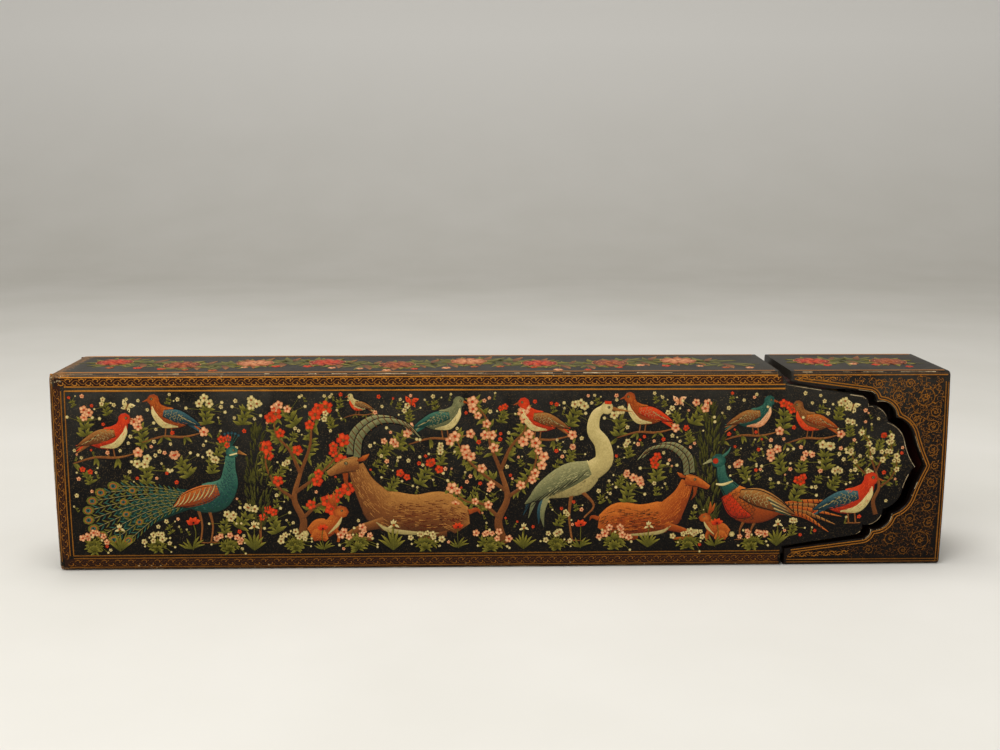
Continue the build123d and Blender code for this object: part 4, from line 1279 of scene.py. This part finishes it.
def red_lacquer():
    """Red ochre and lake in oil: brushed along, darker where ink was spilt and hands went."""
    material, tree, shader, mm = surface("red_oil_ground")
    drawn = add(tree, "VectorMath", {0: mm, 1: (0.12, 1.4, 1.4)}, operation="MULTIPLY")
    strokes = add(tree, "TexNoise", {"Vector": drawn, "Scale": 0.9, "Detail": 4.0})
    red = ramp(tree, strokes, (0.3, "#2e0b07"), (0.55, "#43110a"), (0.75, "#571c10"))
    grime = add(tree, "TexNoise", {"Vector": mm, "Scale": 0.06, "Detail": 5.0, "Roughness": 0.6})
    handled = ramp(tree, grime, (0.42, 0.0), (0.62, 0.65))
    aged = add(tree, "Mix", {"Factor": handled, "A": red, "B": linear("#1d0d08")}, data_type="RGBA")
    metres = add(tree, "TexCoord").outputs["Object"]
    place = add(tree, "VectorMath", {0: metres, 1: INKWELL_AT}, operation="DISTANCE")
    edge = add(tree, "TexNoise", {"Vector": mm, "Scale": 0.14, "Detail": 6.0, "Roughness": 0.65})
    wander = add(tree, "MapRange", {"Value": edge, 1: 0.3, 2: 0.7, 3: -0.012, 4: 0.012})
    reach = add(tree, "Math", {0: place, 1: wander}, operation="ADD")
    spilt = add(tree, "MapRange", {"Value": reach, 1: 0.030, 2: 0.035, 3: 0.8, 4: 0.0})
    inked = add(tree, "Mix", {"Factor": spilt, "A": aged,
                              "B": linear("#0b0808")}, data_type="RGBA")
    bump = add(tree, "Bump", {"Height": strokes, "Strength": 0.25, "Distance": 0.08 * MM})
    feed(tree, shader, {"Base Color": inked, "Normal": bump, "Roughness": 0.48,
                        "Specular IOR Level": 0.3, **varnish(rough=0.2, weight=0.3)})
    return material


def level(height, side):
    """A flat surface across the tray: 1 faces up. Points on it are (along, across)."""
    def skin(places, lift):
        z = np.full(len(places), height + side * lift)
        return np.stack([places[:, 0] - LENGTH / 2, places[:, 1], z], 1) * MM
    return skin


def dress(node, material):
    """Gives a CAD node, whose shape stays, its real material."""
    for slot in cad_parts[node].material_slots:
        slot.material = material


tray_red = red_lacquer()
dress("drawer_tray", tray_red)
for side, height in ((1, TRAY_TOP), (-1, TRAY_UNDER)):
    ground = (level(height, side), "drawer")
    for across in (-13.2, -12.4, 12.4, 13.2):
        ruling(ground, (8.0, across), (229.0, across))
    vine(ground, (9.0, 0.0), (228.0, 0.0), 7.5, pitch=16.0)

# The two pasteboard boards that hold the inkwell, glued in and painted with the tray.
dress("ink_partitions", tray_red)

finish_painting()


# The inkwell's box and its plate: brass sheet, hammered flat, folded and soft-soldered, then
# scraped. It has gone brown with handling, and black where ink ran from the mouth.
def brass(name, stretch, hammered, tarnish):
    """Brass with the marks of its making: drawn scratches and hammer or lathe marks."""
    material, tree, shader, mm = surface(name)
    local = add(tree, "VectorMath", {0: mm, 1: tuple(-v / MM for v in INKWELL_AT)}, operation="ADD")
    patches = add(tree, "TexNoise", {"Vector": mm, "Scale": 0.22, "Detail": 6.0, "Roughness": 0.62})
    metal = ramp(tree, patches, (0.28, "#3f2c14"), (0.45, "#7c5b28"), (0.62, "#a8823f"),
                 (0.8, "#c6a35c"))
    away = add(tree, "VectorMath", {0: local, 1: (1.0, 0.0, 1.0)}, operation="MULTIPLY")
    far = add(tree, "VectorMath", {0: away}, operation="LENGTH")
    blot = add(tree, "TexNoise", {"Vector": mm, "Scale": 0.5, "Detail": 4.0})
    loose = add(tree, "MapRange", {"Value": blot, 1: 0.3, 2: 0.7, 3: -3.5, 4: 3.5})
    reach = add(tree, "Math", {0: far, 1: loose}, operation="ADD")
    ink = add(tree, "MapRange", {"Value": reach, 1: 6.5, 2: 9.0, 3: tarnish, 4: 0.0})
    colour = add(tree, "Mix", {"Factor": ink, "A": metal, "B": linear("#17110b")},
                 data_type="RGBA")
    if hammered:
        marks = add(tree, "TexVoronoi", {"Vector": mm, "Scale": 1 / 3.2}, feature="SMOOTH_F1")
        height, depth = marks.outputs["Distance"], 0.10
    else:
        marks = add(tree, "TexWave", {"Vector": local, "Scale": 1.6, "Distortion": 0.4},
                    wave_type="RINGS", rings_direction="Y")
        height, depth = marks.outputs["Fac"], 0.03
    drawn = add(tree, "VectorMath", {0: mm, 1: stretch}, operation="MULTIPLY")
    lines = add(tree, "TexNoise", {"Vector": drawn, "Scale": 1.0, "Detail": 3.0})
    made = add(tree, "Bump", {"Height": height, "Strength": 0.5, "Distance": depth * MM})
    scratched = add(tree, "Bump", {"Height": lines, "Strength": 0.35, "Distance": 0.03 * MM,
                                   "Normal": made})
    feed(tree, shader, {"Base Color": colour, "Normal": scratched, "Metallic": 1.0, "Roughness": 0.36})
    return material


sheet_brass = brass("sheet_brass", (0.25, 3.0, 4.0), True, 0.85)
for node in ("inkwell_pot", "inkwell_plate", "inkwell_hinge_leaf"):
    dress(node, sheet_brass)

# The collar, the hinge's pin, the lid and its knob, all turned from cast brass on a lathe.
turned_brass = brass("turned_brass", (2.0, 2.0, 2.0), False, 0.25)
for node in ("inkwell_collar", "inkwell_hinge_pin", "inkwell_lid", "inkwell_lid_knob"):
    dress(node, turned_brass)


# The raw silk that soaks up the ink: a matted, lumpy pad with loose threads on it, stiff and
# black with years of dried ink.
def ink_soaked_silk():
    """Black ink dried on floss: dull, and brown where the threads stand out."""
    material, tree, shader, mm = surface("inked_raw_silk")
    mat_noise = add(tree, "TexNoise", {"Vector": mm, "Scale": 1.4, "Detail": 6.0, "Roughness": 0.7})
    black = ramp(tree, mat_noise, (0.35, "#070606"), (0.6, "#15110e"), (0.8, "#2c231a"))
    pulled = add(tree, "VectorMath", {0: mm, 1: (0.6, 2.0, 3.2)}, operation="MULTIPLY")
    floss = add(tree, "TexNoise", {"Vector": pulled, "Scale": 1.2, "Detail": 5.0})
    bump = add(tree, "Bump", {"Height": floss, "Strength": 0.8, "Distance": 0.3 * MM})
    feed(tree, shader, {"Base Color": black, "Normal": bump, "Roughness": 0.7})
    return material


def silk_pad():
    """The pad's lump, flat underneath, and threads that wander over it."""
    low, high = (np.array(v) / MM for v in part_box("silk_wad"))
    middle, half = (low + high) / 2, (high - low) / 2
    around, rings, square = 72, 18, 2.6
    lump_count, thread_count, thread_points = 26, 70, 9
    angle = np.arange(around) * math.tau / around
    lumps = random.Random(5)
    bumps = [[lumps.uniform(*span) for span in ((-9, 9), (-15, 15), (2.5, 6), (-0.5, 0.7))]
             for _ in range(lump_count)]

    def surface_y(x, z):
        """The height of the pad's top over a place, in from its outer face."""
        share = np.clip((np.abs(x / half[0]) ** square + np.abs(z / half[2]) ** square), 0, 1)
        y = low[1] + 0.6 + (1 - np.sqrt(1 - share ** 1.6)) * (high[1] - low[1] - 0.6)
        for bx, bz, wide, tall in bumps:
            y = y - tall * np.exp(-((x - bx) ** 2 + (z - bz) ** 2) / wide ** 2) * (1 - share)
        return np.clip(y, low[1], high[1])

    points, faces = [], []
    for ring in range(rings + 1):
        share = math.sin(0.5 * math.pi * ring / rings)
        corner = (np.abs(np.cos(angle)) ** square + np.abs(np.sin(angle)) ** square) ** (-1 / square)
        x, z = half[0] * share * corner * np.cos(angle), half[2] * share * corner * np.sin(angle)
        points.append(np.stack([middle[0] + x, surface_y(x, z), middle[2] + z], 1))
    points.append(points[-1] * (1, 0, 1) + (0, high[1], 0))
    for first in range(0, (rings + 1) * around, around):
        for k in range(around):
            j = (k + 1) % around
            faces.append((first + k, first + j, first + around + j, first + around + k))
    last = (rings + 1) * around
    faces.append(tuple(range(last, last + around)))
    count = last + around
    for _ in range(thread_count):
        x, z, turn = lumps.uniform(-8, 8), lumps.uniform(-13, 13), lumps.uniform(0, 360)
        path = []
        for _ in range(thread_points):
            path.append((x, z))
            turn += lumps.uniform(-38, 38)
            x, z = np.clip(np.array([x, z]) + heading(turn) * 1.1, (-10.5, -16), (10.5, 16))
        path = np.array(path)
        across = 0.16 * directions(path)[1]
        rise = 0.22 + 0.15 * np.sin(np.arange(thread_points) * lumps.uniform(0.5, 1.2))
        for side, up in ((-1, 0.0), (0, 1.0), (1, 0.0)):
            place = path + across * side
            y = surface_y(place[:, 0], place[:, 1]) + 0.1 - up * rise
            points.append(np.stack([middle[0] + place[:, 0], y, middle[2] + place[:, 1]], 1))
        faces += tube(3, thread_points, count)
        count += 3 * thread_points
    mesh = bpy.data.meshes.new("raw_silk_pad")
    mesh.from_pydata((np.vstack(points) * MM).tolist(), [], faces)
    mesh.shade_smooth()
    pad = new_piece("raw_silk_pad", mesh, ink_soaked_silk())
    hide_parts("silk_wad")
    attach(pad, "drawer")


silk_pad()

# The floor under the box: pale dull paper that sweeps up behind it, in soft even light. Its
# colour is painted paler up the bend, as painted light.
def stage_floor():
    """One sheet: level in front, then a wide bend up behind the box."""
    material, tree, shader, mm = surface("pale_backdrop_paper")
    cloud = add(tree, "TexNoise", {"Vector": mm, "Scale": 0.01, "Detail": 4.0})
    paper = ramp(tree, cloud, (0.3, "#cfccc4"), (0.7, "#d5d2cb"))
    height = add(tree, "SeparateXYZ", {"Vector": mm})
    # Painted light: the paper's colour goes paler the higher it rises.
    rise = add(tree, "MapRange", {"Value": height.outputs["Z"], 1: 0.0, 2: 300.0, 3: 0.0, 4: 1.0})
    paper_painted_paler_up = add(tree, "Mix", {"Factor": rise, "A": paper, "B": linear("#f4f2ee")},
                data_type="RGBA")
    feed(tree, shader, {"Base Color": paper_painted_paler_up, "Roughness": 0.9, "Specular IOR Level": 0.1})
    half, front, bend, bend_radius, top = 9.0, -3.0, 0.9, 0.7, 3.0
    angles = np.linspace(0, math.pi / 2, 25)
    profile = [(front, 0.0)]
    profile += [(bend + bend_radius * math.sin(a), bend_radius * (1 - math.cos(a))) for a in angles]
    profile += [(bend + bend_radius, top)]
    points = [(x, y, z) for x in (-half, half) for y, z in profile]
    count = len(profile)
    faces = [(k, k + count, k + count + 1, k + 1) for k in range(count - 1)]
    mesh = bpy.data.meshes.new("floor")
    mesh.from_pydata(points, [], faces)
    mesh.shade_smooth()
    new_piece("floor", mesh, material)


def softbox(name, size, power, place):
    """A square lamp that faces the box."""
    lamp = bpy.data.lights.new(name, "AREA")
    lamp.shape, lamp.size, lamp.energy = "SQUARE", size, power
    lit = bpy.data.objects.new(name, lamp)
    bpy.context.collection.objects.link(lit)
    direction = np.array([0, 0, 0.03]) - place
    direction /= np.linalg.norm(direction)
    right = np.cross(direction, (0, 0, 1))
    right /= np.linalg.norm(right)
    up = np.cross(right, direction)
    rotation = Matrix([[right[i], up[i], -direction[i]] for i in range(3)]).to_4x4()
    lit.matrix_world = Matrix.Translation(place) @ rotation


stage_floor()
softbox("key_softbox", 0.6, 6.2, (-0.45, -0.7, 0.7))
softbox("fill_softbox", 0.9, 3.0, (0.7, -0.6, 0.6))
softbox("overhead_softbox", 0.45, 4.2, (-0.1, 0.05, 0.85))
world = bpy.data.worlds.new("studio_air")
world.use_nodes = True
world.node_tree.nodes["Background"].inputs["Color"].default_value = linear("#e6e4df")
world.node_tree.nodes["Background"].inputs["Strength"].default_value = 0.5
bpy.context.scene.world = world

# The camera of the photograph: a 45 mm lens on a full frame, 0.4 m in front of the box and
# looking down on it by ten degrees.
CAMERA_AT = (-13.0 * MM, -402.1 * MM, 129.4 * MM)
RIGHT = (0.99954425, -0.030135, 0.00178124)
DOWN = (-0.00340685, -0.17123651, -0.98522406)
AHEAD = (0.02999474, 0.98476898, -0.17126114)
lens = bpy.data.cameras.new("camera")
lens.lens, lens.sensor_width = 45.06, 36.0
lens.clip_start = 0.01
camera = bpy.data.objects.new("camera", lens)
bpy.context.collection.objects.link(camera)
turned = Matrix([[RIGHT[i], -DOWN[i], -AHEAD[i]] for i in range(3)]).to_4x4()
camera.matrix_world = Matrix.Translation(CAMERA_AT) @ turned
bpy.context.scene.camera = camera
bpy.context.scene.view_settings.view_transform = "Standard"
